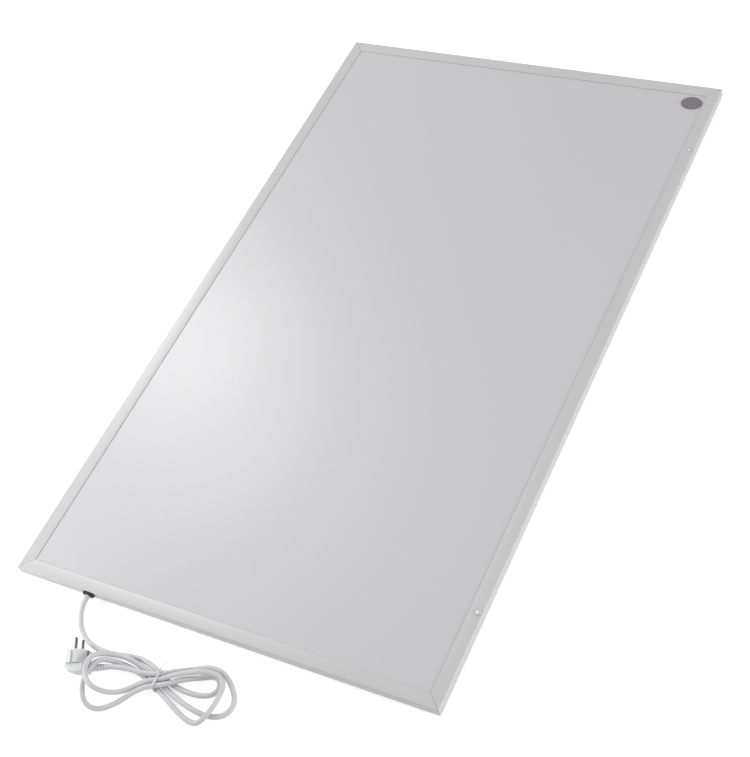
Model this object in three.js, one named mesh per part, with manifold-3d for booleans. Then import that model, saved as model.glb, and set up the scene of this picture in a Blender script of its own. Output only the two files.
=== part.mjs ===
// An infrared panel heater, lying on its back with its front face up.
// Millimetres, +Z up. The panel's short side runs along X, its long side along Y.
// The origin is on the floor, under the middle of the panel.
import * as THREE from 'three';
import { mergeVertices } from 'three/addons/utils/BufferGeometryUtils.js';
import Module from 'manifold-3d';

const wasm = await Module();
wasm.setup();

// ---------------------------------------------------------------- driving sizes

// Overall panel
const PANEL_WIDTH = 600;
const PANEL_LENGTH = 1000;
const FRAME_DEPTH = 12;
const HANGER_RISE = 8;

// Frame profile, an aluminium channel that opens inwards
const FRONT_FLANGE_WIDTH = 17.5;
const FRONT_FLANGE_SLOPE = 1.1;
const FRONT_FLANGE_THICKNESS = 1.7;
const REAR_FLANGE_WIDTH = 14;
const REAR_FLANGE_THICKNESS = 1.2;
const FRAME_WALL = 1.5;
const FRAME_EDGE_RADIUS = 1.5;
const FRAME_INNER_BEVEL = 0.3;

// Sheets stacked inside the frame
const PLATE_THICKNESS = 0.8;
const ELEMENT_THICKNESS = 0.8;
const REFLECTOR_THICKNESS = 0.3;
const REAR_COVER_THICKNESS = 0.6;
const PLATE_MARGIN = 4;
const BOARD_MARGIN = 12;
const ELEMENT_MARGIN = 32;

// Angle keys that hold the mitred corners
const KEY_LEG = 32;
const KEY_THICKNESS = 1.9;

// Wiring pocket in the stack, beside the cord's entry
const POCKET_WIDTH = 190;
const POCKET_DEPTH = 84;
const POCKET_ENTRY_OFFSET = 62;

// Wall hangers on the back
const HANGER_INSET_X = 80;
const HANGER_INSET_Y = 125;
const HANGER_LENGTH = 60;
const HANGER_DECK = 34;
const HANGER_FOOT = 12;
const HANGER_SHEET = 1.2;
const KEYHOLE_HEAD = 10;
const KEYHOLE_SLOT = 5.2;
const KEYHOLE_TRAVEL = 14;
const KEYHOLE_OFFSET = -9;

// Rivets and screws
const RIVET_SHANK = 3;
const RIVET_HEAD = 6;
const RIVET_HEAD_HEIGHT = 1.1;
const RIVET_TAIL = 5;
const RIVET_TAIL_LENGTH = 2;
const FRAME_SCREW_HEAD = 7;
const FRAME_SCREW_HEAD_HEIGHT = 1.2;
const FRAME_SCREW_SHANK = 3.2;
const FRAME_SCREW_EDGE = 5.5;
const FRAME_SCREW_INSET = 125;
const FRAME_SCREW_NUT = 4.6;
const FRAME_SCREW_NUT_LENGTH = 2.2;

// Round badge in the corner of the plate
const BADGE_WIDTH = 30;
const BADGE_HEIGHT = 23.6;
const BADGE_CLEAR_X = 1.3;
const BADGE_CLEAR_Y = 5.3;
const BADGE_THICKNESS = 0.8;
const BADGE_RIM = 1.2;
const BADGE_RIM_HEIGHT = 0.3;

// Cord entry, measured in from the panel's left side
const CORD_ENTRY_INSET = 113;
const CORD_DIAMETER = 6.5;
const GROMMET_WIDTH = 16.5;
const GROMMET_HEIGHT = 11.4;
const GROMMET_PROUD = 3;
const GROMMET_NECK_WIDTH = 12;
const GROMMET_NECK_HEIGHT = 8.4;
const GROMMET_BACK_WIDTH = 16;
const SHEATH_INSIDE = 30;

// Wiring inside the pocket
const WIRE_DIAMETER = 2;
const WIRE_SIDES = 8;
const WIRE_STEPS = 18;
const TERMINAL_PITCH = 10;
const TERMINAL_LENGTH = 16;
const TERMINAL_HEIGHT = 6;
const TERMINAL_MARGIN = 6;
const TERMINAL_SETBACK = 13;
const TERMINAL_HOLE = 3.2;
const TERMINAL_FLOOR = 0.8;
const TERMINAL_SCREW = 3.6;
const TERMINAL_SCREW_LENGTH = 2.2;
const TERMINAL_SLOT = 0.6;
const CORE_OFFSET = 2.2;
const CUTOUT_LENGTH = 22;
const CUTOUT_WIDTH = 8;
const CUTOUT_HEIGHT = 4.6;
const CUTOUT_WALL = 0.8;
const CUTOUT_OFFSET_X = 42;
const CUTOUT_OFFSET_Y = 45;
const ARM_SETBACK = 1;
const ARM_LENGTH = 15;
const ARM_WIDTH = 3;
const ARM_THICKNESS = 0.4;
const CONTACT_HEIGHT = 0.9;
const CONTACT_DIAMETER = 2.4;
const TAB_WIDTH = 8;
const TAB_LENGTH = 10;
const TAB_POSITIONS = [72, 100];
const EARTH_LUG_DIAMETER = 8;
const EARTH_LUG_THICKNESS = 0.8;
const EARTH_OFFSET_X = -40;
const EARTH_OFFSET_Y = 30;
const EARTH_SCREW_HEAD = 6;
const EARTH_SCREW_HEIGHT = 2;
const EARTH_SCREW_SHANK = 3;

// Plug with round pins and a side exit for the cord; its offset is from the cord's entry
const PLUG_DIAMETER = 31;
const PLUG_FLATS = 25.5;
const PLUG_BODY_DEPTH = 16;
const PLUG_COVER_DEPTH = 10.5;
const PLUG_COVER_HEIGHT = 23;
const PLUG_COVER_CHAMFER = 6.5;
const PLUG_GROOVE_WIDTH = 5;
const PLUG_GROOVE_DEPTH = 2.4;
const PIN_DIAMETER = 4;
const PIN_LENGTH = 15.5;
const PIN_SPACING = 16;
const PIN_ROOT = 8;
const EARTH_STRIP_WIDTH = 5;
const EARTH_STRIP_THICKNESS = 0.9;
const EARTH_STRIP_LENGTH = 13;
const RELIEF_LENGTH = 27;
const RELIEF_ROOT = 9.4;
const RELIEF_TIP = 7.4;
const RELIEF_RIBS = 6;
const RELIEF_GROOVE = 0.7;
const PLUG_FACE_OFFSET = [35.5, -73.5];
const PLUG_PINS_HEADING = [-0.36, 0.896, 0.256];
const PLUG_CORD_HEADING = [0.93, 0.33, 0.07];

// Hank of the supply cord; the tie's offset is from the cord's entry
const TIE_OFFSET = [147, -71];
const STRAND_SLANT = 22;
const STRAND_PITCH = 7.3;
const LAYER_PITCH = 7;
const FLOOR_CLEARANCE = 0.1;
const TIE_LIFT = 1.3;
const HANK_STEPS_PER_LOOP = 24;
const HANK_SIDES = 6;
const HANK_END_RUN = 7;
const CORD_SIDES = 12;
const LEAD_STEPS = 26;
const TAIL_STEPS = 14;
const GAP_SAMPLES = 1200;
const GAP_SKIP = 24;
const TIE_WIDTH = 3;
const TIE_THICKNESS = 0.7;
const TIE_SLACK = 0.7;
const TIE_WIRE = 1.1;
const TIE_END_SIDES = 6;
const TIE_END_STEPS = 10;

// Clearances
const GAP = 0.3;
const HOLE_CLEARANCE = 0.4;

// ---------------------------------------------------------------- derived levels

const frameBack = HANGER_RISE;
const frameFront = frameBack + FRAME_DEPTH;
const rearFlangeTop = frameBack + REAR_FLANGE_THICKNESS;
const frontFlangeUnder = frameFront - FRONT_FLANGE_THICKNESS;
const rearCoverBottom = rearFlangeTop + GAP;
const rearCoverTop = rearCoverBottom + REAR_COVER_THICKNESS;
const plateTop = frontFlangeUnder - GAP;
const plateBottom = plateTop - PLATE_THICKNESS;
const elementTop = plateBottom - GAP;
const elementBottom = elementTop - ELEMENT_THICKNESS;
const reflectorTop = elementBottom - GAP;
const reflectorBottom = reflectorTop - REFLECTOR_THICKNESS;
const boardTop = reflectorBottom - GAP;
const boardBottom = rearCoverTop + GAP;
const halfWidth = PANEL_WIDTH / 2;
const halfLength = PANEL_LENGTH / 2;
const cordRadius = CORD_DIAMETER / 2;
const screwSpread = halfLength - FRAME_SCREW_INSET;
const cordHeight = (rearCoverTop + plateBottom) / 2;
const cordEntryX = -halfWidth + CORD_ENTRY_INSET;
const pocketLeft = cordEntryX - POCKET_ENTRY_OFFSET;
const pocketRight = pocketLeft + POCKET_WIDTH;
const pocketFar = -halfLength + POCKET_DEPTH;
const CURVE_SEGMENTS = 24;

// ---------------------------------------------------------------- materials

function finish(color, roughness, metalness = 0) {
  return new THREE.MeshStandardMaterial({ color, roughness, metalness });
}
const WHITE_FRAME = finish('#d9dadb', 0.4);
const WHITE_PLATE = finish('#cfcfd0', 0.8);
const STEEL = finish('#b8babc', 0.35, 1);
const BRASS = finish('#c9a24e', 0.35, 1);
const FOIL = finish('#c8ccd0', 0.25, 1);
const CARBON = finish('#2c2c30', 0.6);
const WOOL = finish('#d8cfa8', 0.95);
const BLACK_RUBBER = finish('#161616', 0.7);
const WHITE_CORD = finish('#cfd2d4', 0.5);
const WHITE_PLUG = finish('#e4e4e4', 0.45);
const GREY_NYLON = finish('#dcdcd6', 0.5);
const BROWN_WIRE = finish('#6b4326', 0.5);
const BLUE_WIRE = finish('#2f62b5', 0.5);
const EARTH_WIRE = finish('#9bbf3a', 0.5);
const BADGE_FACE = finish('#2b2d33', 0.4);

// ---------------------------------------------------------------- helpers

const heater = new THREE.Group();

function add(name, geometry, material) {
  const mesh = new THREE.Mesh(geometry, material);
  mesh.name = name;
  heater.add(mesh);
  return mesh;
}

function toSolid(geometry) {
  const bare = geometry.clone();
  bare.deleteAttribute('normal');
  bare.deleteAttribute('uv');
  const merged = mergeVertices(bare, 1e-4);
  const vertProperties = new Float32Array(merged.attributes.position.array);
  const triVerts = new Uint32Array(merged.index.array);
  return new wasm.Manifold(new wasm.Mesh({ numProp: 3, vertProperties, triVerts }));
}

function toGeometry(solid) {
  const mesh = solid.getMesh();
  const geometry = new THREE.BufferGeometry();
  geometry.setAttribute('position', new THREE.BufferAttribute(mesh.vertProperties, 3));
  geometry.setIndex(new THREE.BufferAttribute(mesh.triVerts, 1));
  geometry.computeVertexNormals();
  return geometry;
}

function cut(geometry, ...tools) {
  let solid = toSolid(geometry);
  for (const tool of tools) solid = solid.subtract(toSolid(tool));
  return toGeometry(solid);
}

function join(first, ...others) {
  let solid = toSolid(first);
  for (const other of others) solid = solid.add(toSolid(other));
  return toGeometry(solid);
}

// A box from its lowest to its highest corner.
function block(low, high) {
  const size = high.map((value, i) => value - low[i]);
  const box = new THREE.BoxGeometry(...size);
  return box.translate(...low.map((value, i) => value + size[i] / 2));
}

// An upright round bar that stands on a level.
function bar(x, y, bottom, top, diameter, segments = CURVE_SEGMENTS) {
  const rod = new THREE.CylinderGeometry(diameter / 2, diameter / 2, top - bottom, segments);
  return rod.rotateX(Math.PI / 2).translate(x, y, (top + bottom) / 2);
}

// A flat outline in X and Y, made solid between two levels.
function slab(shape, bottom, top) {
  const options = { depth: top - bottom, bevelEnabled: false, curveSegments: CURVE_SEGMENTS / 2 };
  return new THREE.ExtrudeGeometry(shape, options).translate(0, 0, bottom);
}

function polygon(points) {
  return new THREE.Shape(points.map(([x, y]) => new THREE.Vector2(x, y)));
}

function roundHole(x, y, diameter) {
  return new THREE.Path().absarc(x, y, diameter / 2, 0, 2 * Math.PI, true);
}

// A turned piece on an upright axis, from pairs of radius and height.
function turned(profile, segments = CURVE_SEGMENTS) {
  const points = profile.map(([radius, height]) => new THREE.Vector2(radius, height));
  return new THREE.LatheGeometry(points, segments).rotateX(Math.PI / 2);
}

// Pairs of radius and height that go over a low dome, from its edge to its middle.
function domeProfile(radius, base, rise, steps = 5) {
  const points = [];
  for (let i = 0; i <= steps; i += 1) {
    const angle = (i / steps) * (Math.PI / 2);
    points.push([i === steps ? 0 : radius * Math.cos(angle), base + rise * Math.sin(angle)]);
  }
  return points;
}

// A round tube along a smooth curve through points.
function tube(points, diameter, sides, steps) {
  const route = new THREE.CatmullRomCurve3(points);
  route.arcLengthDivisions = 20 * points.length;
  const section = new THREE.Shape();
  for (let i = 0; i < sides; i += 1) {
    const angle = (i / sides) * 2 * Math.PI;
    const corner = [(diameter / 2) * Math.cos(angle), (diameter / 2) * Math.sin(angle)];
    if (i === 0) section.moveTo(...corner);
    else section.lineTo(...corner);
  }
  return new THREE.ExtrudeGeometry(section, { steps, extrudePath: route, bevelEnabled: false });
}

// ---------------------------------------------------------------- frame

// The profile's section: distance in from the outer face, and height. Its front slopes inwards.
function frameSection() {
  const section = new THREE.Shape();
  const radius = FRAME_EDGE_RADIUS;
  const lipTop = frameFront - FRONT_FLANGE_SLOPE;
  section.moveTo(0, frameBack);
  section.lineTo(REAR_FLANGE_WIDTH, frameBack);
  section.lineTo(REAR_FLANGE_WIDTH, rearFlangeTop);
  section.lineTo(FRAME_WALL, rearFlangeTop);
  section.lineTo(FRAME_WALL, frontFlangeUnder);
  section.lineTo(FRONT_FLANGE_WIDTH, frontFlangeUnder);
  section.lineTo(FRONT_FLANGE_WIDTH, lipTop - FRAME_INNER_BEVEL);
  section.lineTo(FRONT_FLANGE_WIDTH - FRAME_INNER_BEVEL, lipTop);
  section.lineTo(radius, frameFront);
  section.absarc(radius, frameFront - radius, radius, Math.PI / 2, Math.PI, false);
  section.lineTo(0, frameBack);
  return section;
}

// A profile along X whose ends are mitred at 45 degrees; its outer face is at y = -reach.
function mitredProfile(half, reach) {
  const options = { depth: 1, steps: 1, bevelEnabled: false, curveSegments: 4 };
  const geometry = new THREE.ExtrudeGeometry(frameSection(), options);
  const position = geometry.attributes.position;
  const mitreGap = GAP / Math.SQRT2;
  for (let i = 0; i < position.count; i += 1) {
    const inward = position.getX(i);
    const height = position.getY(i);
    const side = position.getZ(i) > 0.5 ? 1 : -1;
    position.setXYZ(i, side * (half - inward - mitreGap), inward - reach, height);
  }
  return geometry;
}

// A round-ended slot that runs along X, made solid along Y.
function ovalBar(width, height, from, to, x, z) {
  const shape = new THREE.Shape();
  const straight = (width - height) / 2;
  shape.absarc(straight, 0, height / 2, -Math.PI / 2, Math.PI / 2, false);
  shape.absarc(-straight, 0, height / 2, Math.PI / 2, (3 * Math.PI) / 2, false);
  const options = { depth: to - from, bevelEnabled: false, curveSegments: 10 };
  return new THREE.ExtrudeGeometry(shape, options).rotateX(Math.PI / 2).translate(x, to, z);
}

function screwHole(along) {
  const y = FRAME_SCREW_EDGE - halfWidth;
  const top = frameFront + 1;
  return bar(along, y, frontFlangeUnder - 1, top, FRAME_SCREW_SHANK + 2 * GAP);
}

function addFrame() {
  const wallHole = ovalBar(
    GROMMET_NECK_WIDTH + 2 * GAP,
    GROMMET_NECK_HEIGHT + 2 * GAP,
    -halfLength - 1,
    -halfLength + FRAME_WALL + 1,
    cordEntryX,
    cordHeight
  );
  const longSide = mitredProfile(halfLength, halfWidth);
  const shortSide = mitredProfile(halfWidth, halfLength);
  const holes = [-screwSpread, screwSpread].map(screwHole);
  add('frame_bottom', cut(shortSide, wallHole), WHITE_FRAME);
  add('frame_right', cut(longSide, ...holes), WHITE_FRAME).rotation.z = Math.PI / 2;
  add('frame_top', shortSide, WHITE_FRAME).rotation.z = Math.PI;
  add('frame_left', longSide, WHITE_FRAME).rotation.z = -Math.PI / 2;
}

// An L-shaped key stands inside each mitred corner, against both outer walls.
function addCornerKeys() {
  const outer = FRAME_WALL + GAP;
  const inner = outer + KEY_THICKNESS;
  const corners = {
    top_right: [1, 1],
    top_left: [-1, 1],
    bottom_left: [-1, -1],
    bottom_right: [1, -1],
  };
  for (const [corner, [sideX, sideY]] of Object.entries(corners)) {
    const at = (u, v) => [sideX * (halfWidth - u), sideY * (halfLength - v)];
    const outline = polygon([
      at(outer, outer),
      at(KEY_LEG, outer),
      at(KEY_LEG, inner),
      at(inner, inner),
      at(inner, KEY_LEG),
      at(outer, KEY_LEG),
    ]);
    add(`corner_key_${corner}`, slab(outline, rearFlangeTop + GAP, frontFlangeUnder - GAP), STEEL);
  }
}

// Round-headed screws in the right-hand profile clamp it to the plate's edge.
function addFrameScrews() {
  const x = halfWidth - FRAME_SCREW_EDGE;
  const head = FRAME_SCREW_HEAD / 2;
  const shank = FRAME_SCREW_SHANK / 2;
  const seat = frameFront + GAP;
  const nutTop = plateBottom - GAP;
  for (const [end, side] of [['top', 1], ['bottom', -1]]) {
    const profile = [
      [0, nutTop - FRAME_SCREW_NUT_LENGTH],
      [FRAME_SCREW_NUT / 2, nutTop - FRAME_SCREW_NUT_LENGTH],
      [FRAME_SCREW_NUT / 2, nutTop],
      [shank, nutTop],
      [shank, seat],
      [head, seat],
      ...domeProfile(head, seat + GAP, FRAME_SCREW_HEAD_HEIGHT),
    ];
    const screw = turned(profile).translate(x, side * screwSpread, 0);
    add(`frame_screw_${end}`, screw, STEEL);
  }
}

// ---------------------------------------------------------------- hangers and their rivets

const hangers = [];
for (const [name, sideX, sideY] of [
  ['top_left', -1, 1],
  ['top_right', 1, 1],
  ['bottom_left', -1, -1],
  ['bottom_right', 1, -1],
]) {
  hangers.push({
    name,
    x: sideX * (halfWidth - HANGER_INSET_X),
    y: sideY * (halfLength - HANGER_INSET_Y),
  });
}
const footCentre = HANGER_DECK / 2 + HANGER_FOOT / 2;
const footTop = rearCoverBottom - GAP;
const rivetPlaces = hangers.flatMap(({ name, x, y }) => [
  { name: `${name}_a`, x: x - footCentre, y },
  { name: `${name}_b`, x: x + footCentre, y },
]);

// A hat-shaped bracket: a raised deck with a keyhole, between two feet on the rear cover.
function hangerGeometry() {
  const deck = HANGER_DECK / 2;
  const foot = deck + HANGER_FOOT;
  const sheet = HANGER_SHEET;
  const section = polygon([
    [-foot, footTop],
    [-foot, footTop - sheet],
    [-deck, footTop - sheet],
    [-deck, 0],
    [deck, 0],
    [deck, footTop - sheet],
    [foot, footTop - sheet],
    [foot, footTop],
    [deck - sheet, footTop],
    [deck - sheet, sheet],
    [-deck + sheet, sheet],
    [-deck + sheet, footTop],
  ]);
  const options = { depth: HANGER_LENGTH, bevelEnabled: false };
  const hat = new THREE.ExtrudeGeometry(section, options);
  hat.rotateX(Math.PI / 2).translate(0, HANGER_LENGTH / 2, 0);
  const slotEnd = KEYHOLE_OFFSET + KEYHOLE_TRAVEL;
  const keyhole = [
    bar(0, KEYHOLE_OFFSET, -1, sheet + 1, KEYHOLE_HEAD),
    bar(0, slotEnd, -1, sheet + 1, KEYHOLE_SLOT),
    block([-KEYHOLE_SLOT / 2, KEYHOLE_OFFSET, -1], [KEYHOLE_SLOT / 2, slotEnd, sheet + 1]),
  ];
  const rivetHoles = [-footCentre, footCentre].map((x) =>
    bar(x, 0, footTop - sheet - 1, footTop + 1, RIVET_SHANK + 2 * GAP)
  );
  return cut(hat, ...keyhole, ...rivetHoles);
}

function rivetGeometry() {
  const seat = footTop - HANGER_SHEET - GAP;
  const shank = RIVET_SHANK / 2;
  const tailBottom = rearCoverTop + GAP;
  const dome = domeProfile(RIVET_HEAD / 2, -seat, RIVET_HEAD_HEIGHT).reverse();
  return turned([
    ...dome.map(([radius, height]) => [radius, -height]),
    [shank, seat],
    [shank, tailBottom],
    [RIVET_TAIL / 2, tailBottom],
    [RIVET_TAIL / 2, tailBottom + RIVET_TAIL_LENGTH],
    [0, tailBottom + RIVET_TAIL_LENGTH],
  ], 16);
}

function addHangers() {
  const geometry = hangerGeometry();
  for (const { name, x, y } of hangers) {
    add(`hanger_${name}`, geometry, STEEL).position.set(x, y, 0);
  }
  const rivet = rivetGeometry();
  for (const { name, x, y } of rivetPlaces) {
    add(`hanger_rivet_${name}`, rivet, STEEL).position.set(x, y, 0);
  }
}

// ---------------------------------------------------------------- sheets in the frame

function sheetOutline(margin) {
  const x = halfWidth - margin;
  const y = halfLength - margin;
  return polygon([[-x, -y], [x, -y], [x, y], [-x, y]]);
}

// A sheet that leaves the wiring pocket free, by way of the bottom edge.
function pocketOutline(margin) {
  const x = halfWidth - margin;
  const y = halfLength - margin;
  return polygon([
    [-x, -y],
    [pocketLeft, -y],
    [pocketLeft, pocketFar],
    [pocketRight, pocketFar],
    [pocketRight, -y],
    [x, -y],
    [x, y],
    [-x, y],
  ]);
}

function addSheets() {
  const screwX = halfWidth - FRAME_SCREW_EDGE;
  const screwHoles = [-screwSpread, screwSpread].map((y) =>
    bar(screwX, y, plateBottom - 1, plateTop + 1, FRAME_SCREW_SHANK + 2 * GAP)
  );
  const plate = slab(sheetOutline(PLATE_MARGIN), plateBottom, plateTop);
  add('front_plate', cut(plate, ...screwHoles), WHITE_PLATE);

  const coverHoles = rivetPlaces.map(({ x, y }) =>
    bar(x, y, rearCoverBottom - 1, rearCoverTop + 1, RIVET_SHANK + 2 * GAP, 16)
  );
  const [earthX, earthY] = earthPlace();
  const earthWay = EARTH_SCREW_SHANK + 2 * GAP;
  coverHoles.push(bar(earthX, earthY, rearCoverBottom - 1, rearCoverTop + 1, earthWay, 16));
  const cover = slab(sheetOutline(PLATE_MARGIN), rearCoverBottom, rearCoverTop);
  add('rear_cover', cut(cover, ...coverHoles), WHITE_FRAME);

  const boardHoles = rivetPlaces.map(({ x, y }) =>
    bar(x, y, boardBottom - 1, boardTop + 1, RIVET_TAIL + 2 * HOLE_CLEARANCE, 16)
  );
  const board = slab(pocketOutline(BOARD_MARGIN), boardBottom, boardTop);
  add('insulation_board', cut(board, ...boardHoles), WOOL);

  const reflector = pocketOutline(BOARD_MARGIN);
  add('reflector_sheet', slab(reflector, reflectorBottom, reflectorTop), FOIL);

  const element = pocketOutline(ELEMENT_MARGIN);
  const tabs = TAB_POSITIONS.map((offset) => {
    const x = cordEntryX + offset;
    const low = [x - TAB_WIDTH / 2, pocketFar - TAB_LENGTH, elementBottom];
    return block(low, [x + TAB_WIDTH / 2, pocketFar + 1, elementTop]);
  });
  const film = slab(element, elementBottom, elementTop);
  add('heating_element', join(film, ...tabs), CARBON);
}

// ---------------------------------------------------------------- badge

// A plain oval badge sits in the plate's corner, clear of both flanges.
function addBadge() {
  const radius = BADGE_WIDTH / 2;
  const insetX = FRONT_FLANGE_WIDTH + BADGE_CLEAR_X + radius;
  const insetY = FRONT_FLANGE_WIDTH + BADGE_CLEAR_Y + BADGE_HEIGHT / 2;
  const bottom = plateTop + GAP;
  const top = bottom + BADGE_THICKNESS;
  const badge = turned([
    [0, bottom],
    [radius, bottom],
    [radius, top],
    [radius - BADGE_RIM, top + BADGE_RIM_HEIGHT],
    [radius - 2 * BADGE_RIM, top],
    [0, top],
  ], 40);
  badge.scale(1, BADGE_HEIGHT / BADGE_WIDTH, 1);
  add('corner_badge', badge.translate(halfWidth - insetX, halfLength - insetY, 0), BADGE_FACE);
}

// ---------------------------------------------------------------- cord entry and wiring

const wallOutside = -halfLength;
const grommetFace = wallOutside - GROMMET_PROUD;
const sheathEnd = wallOutside + SHEATH_INSIDE;
const terminalFront = sheathEnd + TERMINAL_SETBACK;
const terminalBack = terminalFront + TERMINAL_LENGTH;
const floorInside = rearCoverTop + GAP;
const terminalHoleHeight = floorInside + TERMINAL_HOLE / 2 + TERMINAL_FLOOR;

// A point that is given from the cord's entry, at its height over the floor.
function fromEntry([x, y, z]) {
  return new THREE.Vector3(cordEntryX + x, wallOutside + y, z);
}

function earthPlace() {
  return [cordEntryX + EARTH_OFFSET_X, wallOutside + EARTH_OFFSET_Y];
}

function addCordEntry() {
  const wallInside = wallOutside + FRAME_WALL;
  const flange = ovalBar(
    GROMMET_WIDTH,
    GROMMET_HEIGHT,
    grommetFace,
    wallOutside - GAP,
    cordEntryX,
    cordHeight
  );
  const neck = ovalBar(
    GROMMET_NECK_WIDTH,
    GROMMET_NECK_HEIGHT,
    wallOutside - 1,
    wallInside + 1,
    cordEntryX,
    cordHeight
  );
  const back = ovalBar(
    GROMMET_BACK_WIDTH,
    GROMMET_NECK_HEIGHT,
    wallInside + GAP,
    wallOutside + PLATE_MARGIN - GAP,
    cordEntryX,
    cordHeight
  );
  const boreRadius = cordRadius + GAP;
  const bore = new THREE.CylinderGeometry(boreRadius, boreRadius, 4 * GROMMET_WIDTH, CURVE_SEGMENTS);
  bore.translate(cordEntryX, wallOutside, cordHeight);
  add('cord_grommet', cut(join(flange, neck, back), bore), BLACK_RUBBER);

  const sheath = new THREE.CylinderGeometry(cordRadius, cordRadius, sheathEnd - grommetFace, 20);
  sheath.translate(cordEntryX, (sheathEnd + grommetFace) / 2, cordHeight);
  add('inner_cord', sheath, WHITE_CORD);
}

const poleX = [-1, 0, 1].map((i) => cordEntryX + i * TERMINAL_PITCH);

function addTerminalBlock() {
  const half = TERMINAL_PITCH + TERMINAL_MARGIN;
  const top = floorInside + TERMINAL_HEIGHT;
  const body = block(
    [cordEntryX - half, terminalFront, floorInside],
    [cordEntryX + half, terminalBack, top]
  );
  const middle = (terminalFront + terminalBack) / 2;
  const tools = [];
  for (const x of poleX) {
    const radius = TERMINAL_HOLE / 2;
    const wireWay = new THREE.CylinderGeometry(radius, radius, 2 * TERMINAL_LENGTH, 12);
    tools.push(wireWay.translate(x, middle, terminalHoleHeight));
    const screwFoot = top - TERMINAL_SCREW_LENGTH - GAP;
    tools.push(bar(x, middle, screwFoot, top + 1, TERMINAL_SCREW + 2 * GAP, 16));
  }
  add('terminal_block', cut(body, ...tools), GREY_NYLON);
  poleX.forEach((x, i) => {
    const screw = bar(x, middle, top - TERMINAL_SCREW_LENGTH, top, TERMINAL_SCREW, 16);
    const slot = block(
      [x - TERMINAL_SCREW, middle - TERMINAL_SLOT / 2, top - TERMINAL_SLOT],
      [x + TERMINAL_SCREW, middle + TERMINAL_SLOT / 2, top + 1]
    );
    add(`terminal_screw_${i + 1}`, cut(screw, slot), BRASS);
  });
}

// ---------------------------------------------------------------- thermal cut-out

const cutoutX = cordEntryX + CUTOUT_OFFSET_X;
const cutoutY = wallOutside + CUTOUT_OFFSET_Y;
const cutoutLow = [cutoutX, cutoutY - CUTOUT_WIDTH / 2, floorInside];
const cutoutFloor = floorInside + CUTOUT_WALL;
const armRootX = cutoutX + CUTOUT_WALL + GAP + ARM_SETBACK;
const contactX = armRootX + ARM_LENGTH - CONTACT_DIAMETER;
const armBottom = cutoutFloor + GAP + CONTACT_HEIGHT + GAP;

// A tray-like case, open at its end, holds a fixed contact and a bimetal arm above it.
function addThermalCutout() {
  const outer = block(cutoutLow, [
    cutoutX + CUTOUT_LENGTH,
    cutoutY + CUTOUT_WIDTH / 2,
    floorInside + CUTOUT_HEIGHT,
  ]);
  const chamber = block(
    [cutoutX + CUTOUT_WALL, cutoutY - CUTOUT_WIDTH / 2 + CUTOUT_WALL, cutoutFloor],
    [
      cutoutX + CUTOUT_LENGTH + 1,
      cutoutY + CUTOUT_WIDTH / 2 - CUTOUT_WALL,
      floorInside + CUTOUT_HEIGHT - CUTOUT_WALL,
    ]
  );
  const post = block(
    [cutoutX + CUTOUT_WALL / 2, cutoutY - ARM_WIDTH / 2, cutoutFloor - CUTOUT_WALL / 2],
    [armRootX + 1, cutoutY + ARM_WIDTH / 2, armBottom - GAP]
  );
  add('thermal_cutout_case', join(cut(outer, chamber), post), GREY_NYLON);

  const contactBottom = cutoutFloor + GAP;
  const contactTop = contactBottom + CONTACT_HEIGHT;
  const contact = bar(contactX, cutoutY, contactBottom, contactTop, CONTACT_DIAMETER, 16);
  add('fixed_contact', contact, BRASS);

  const arm = block(
    [armRootX, cutoutY - ARM_WIDTH / 2, armBottom],
    [armRootX + ARM_LENGTH, cutoutY + ARM_WIDTH / 2, armBottom + ARM_THICKNESS]
  );
  add('bimetal_arm', arm, BRASS);
}

// ---------------------------------------------------------------- wires

const wireIn = terminalFront + TERMINAL_LENGTH / 4;
const wireOut = terminalBack - TERMINAL_LENGTH / 4;

function addWire(name, points, material) {
  const route = points.map((point) => new THREE.Vector3(...point));
  add(name, tube(route, WIRE_DIAMETER, WIRE_SIDES, WIRE_STEPS), material);
}

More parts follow.
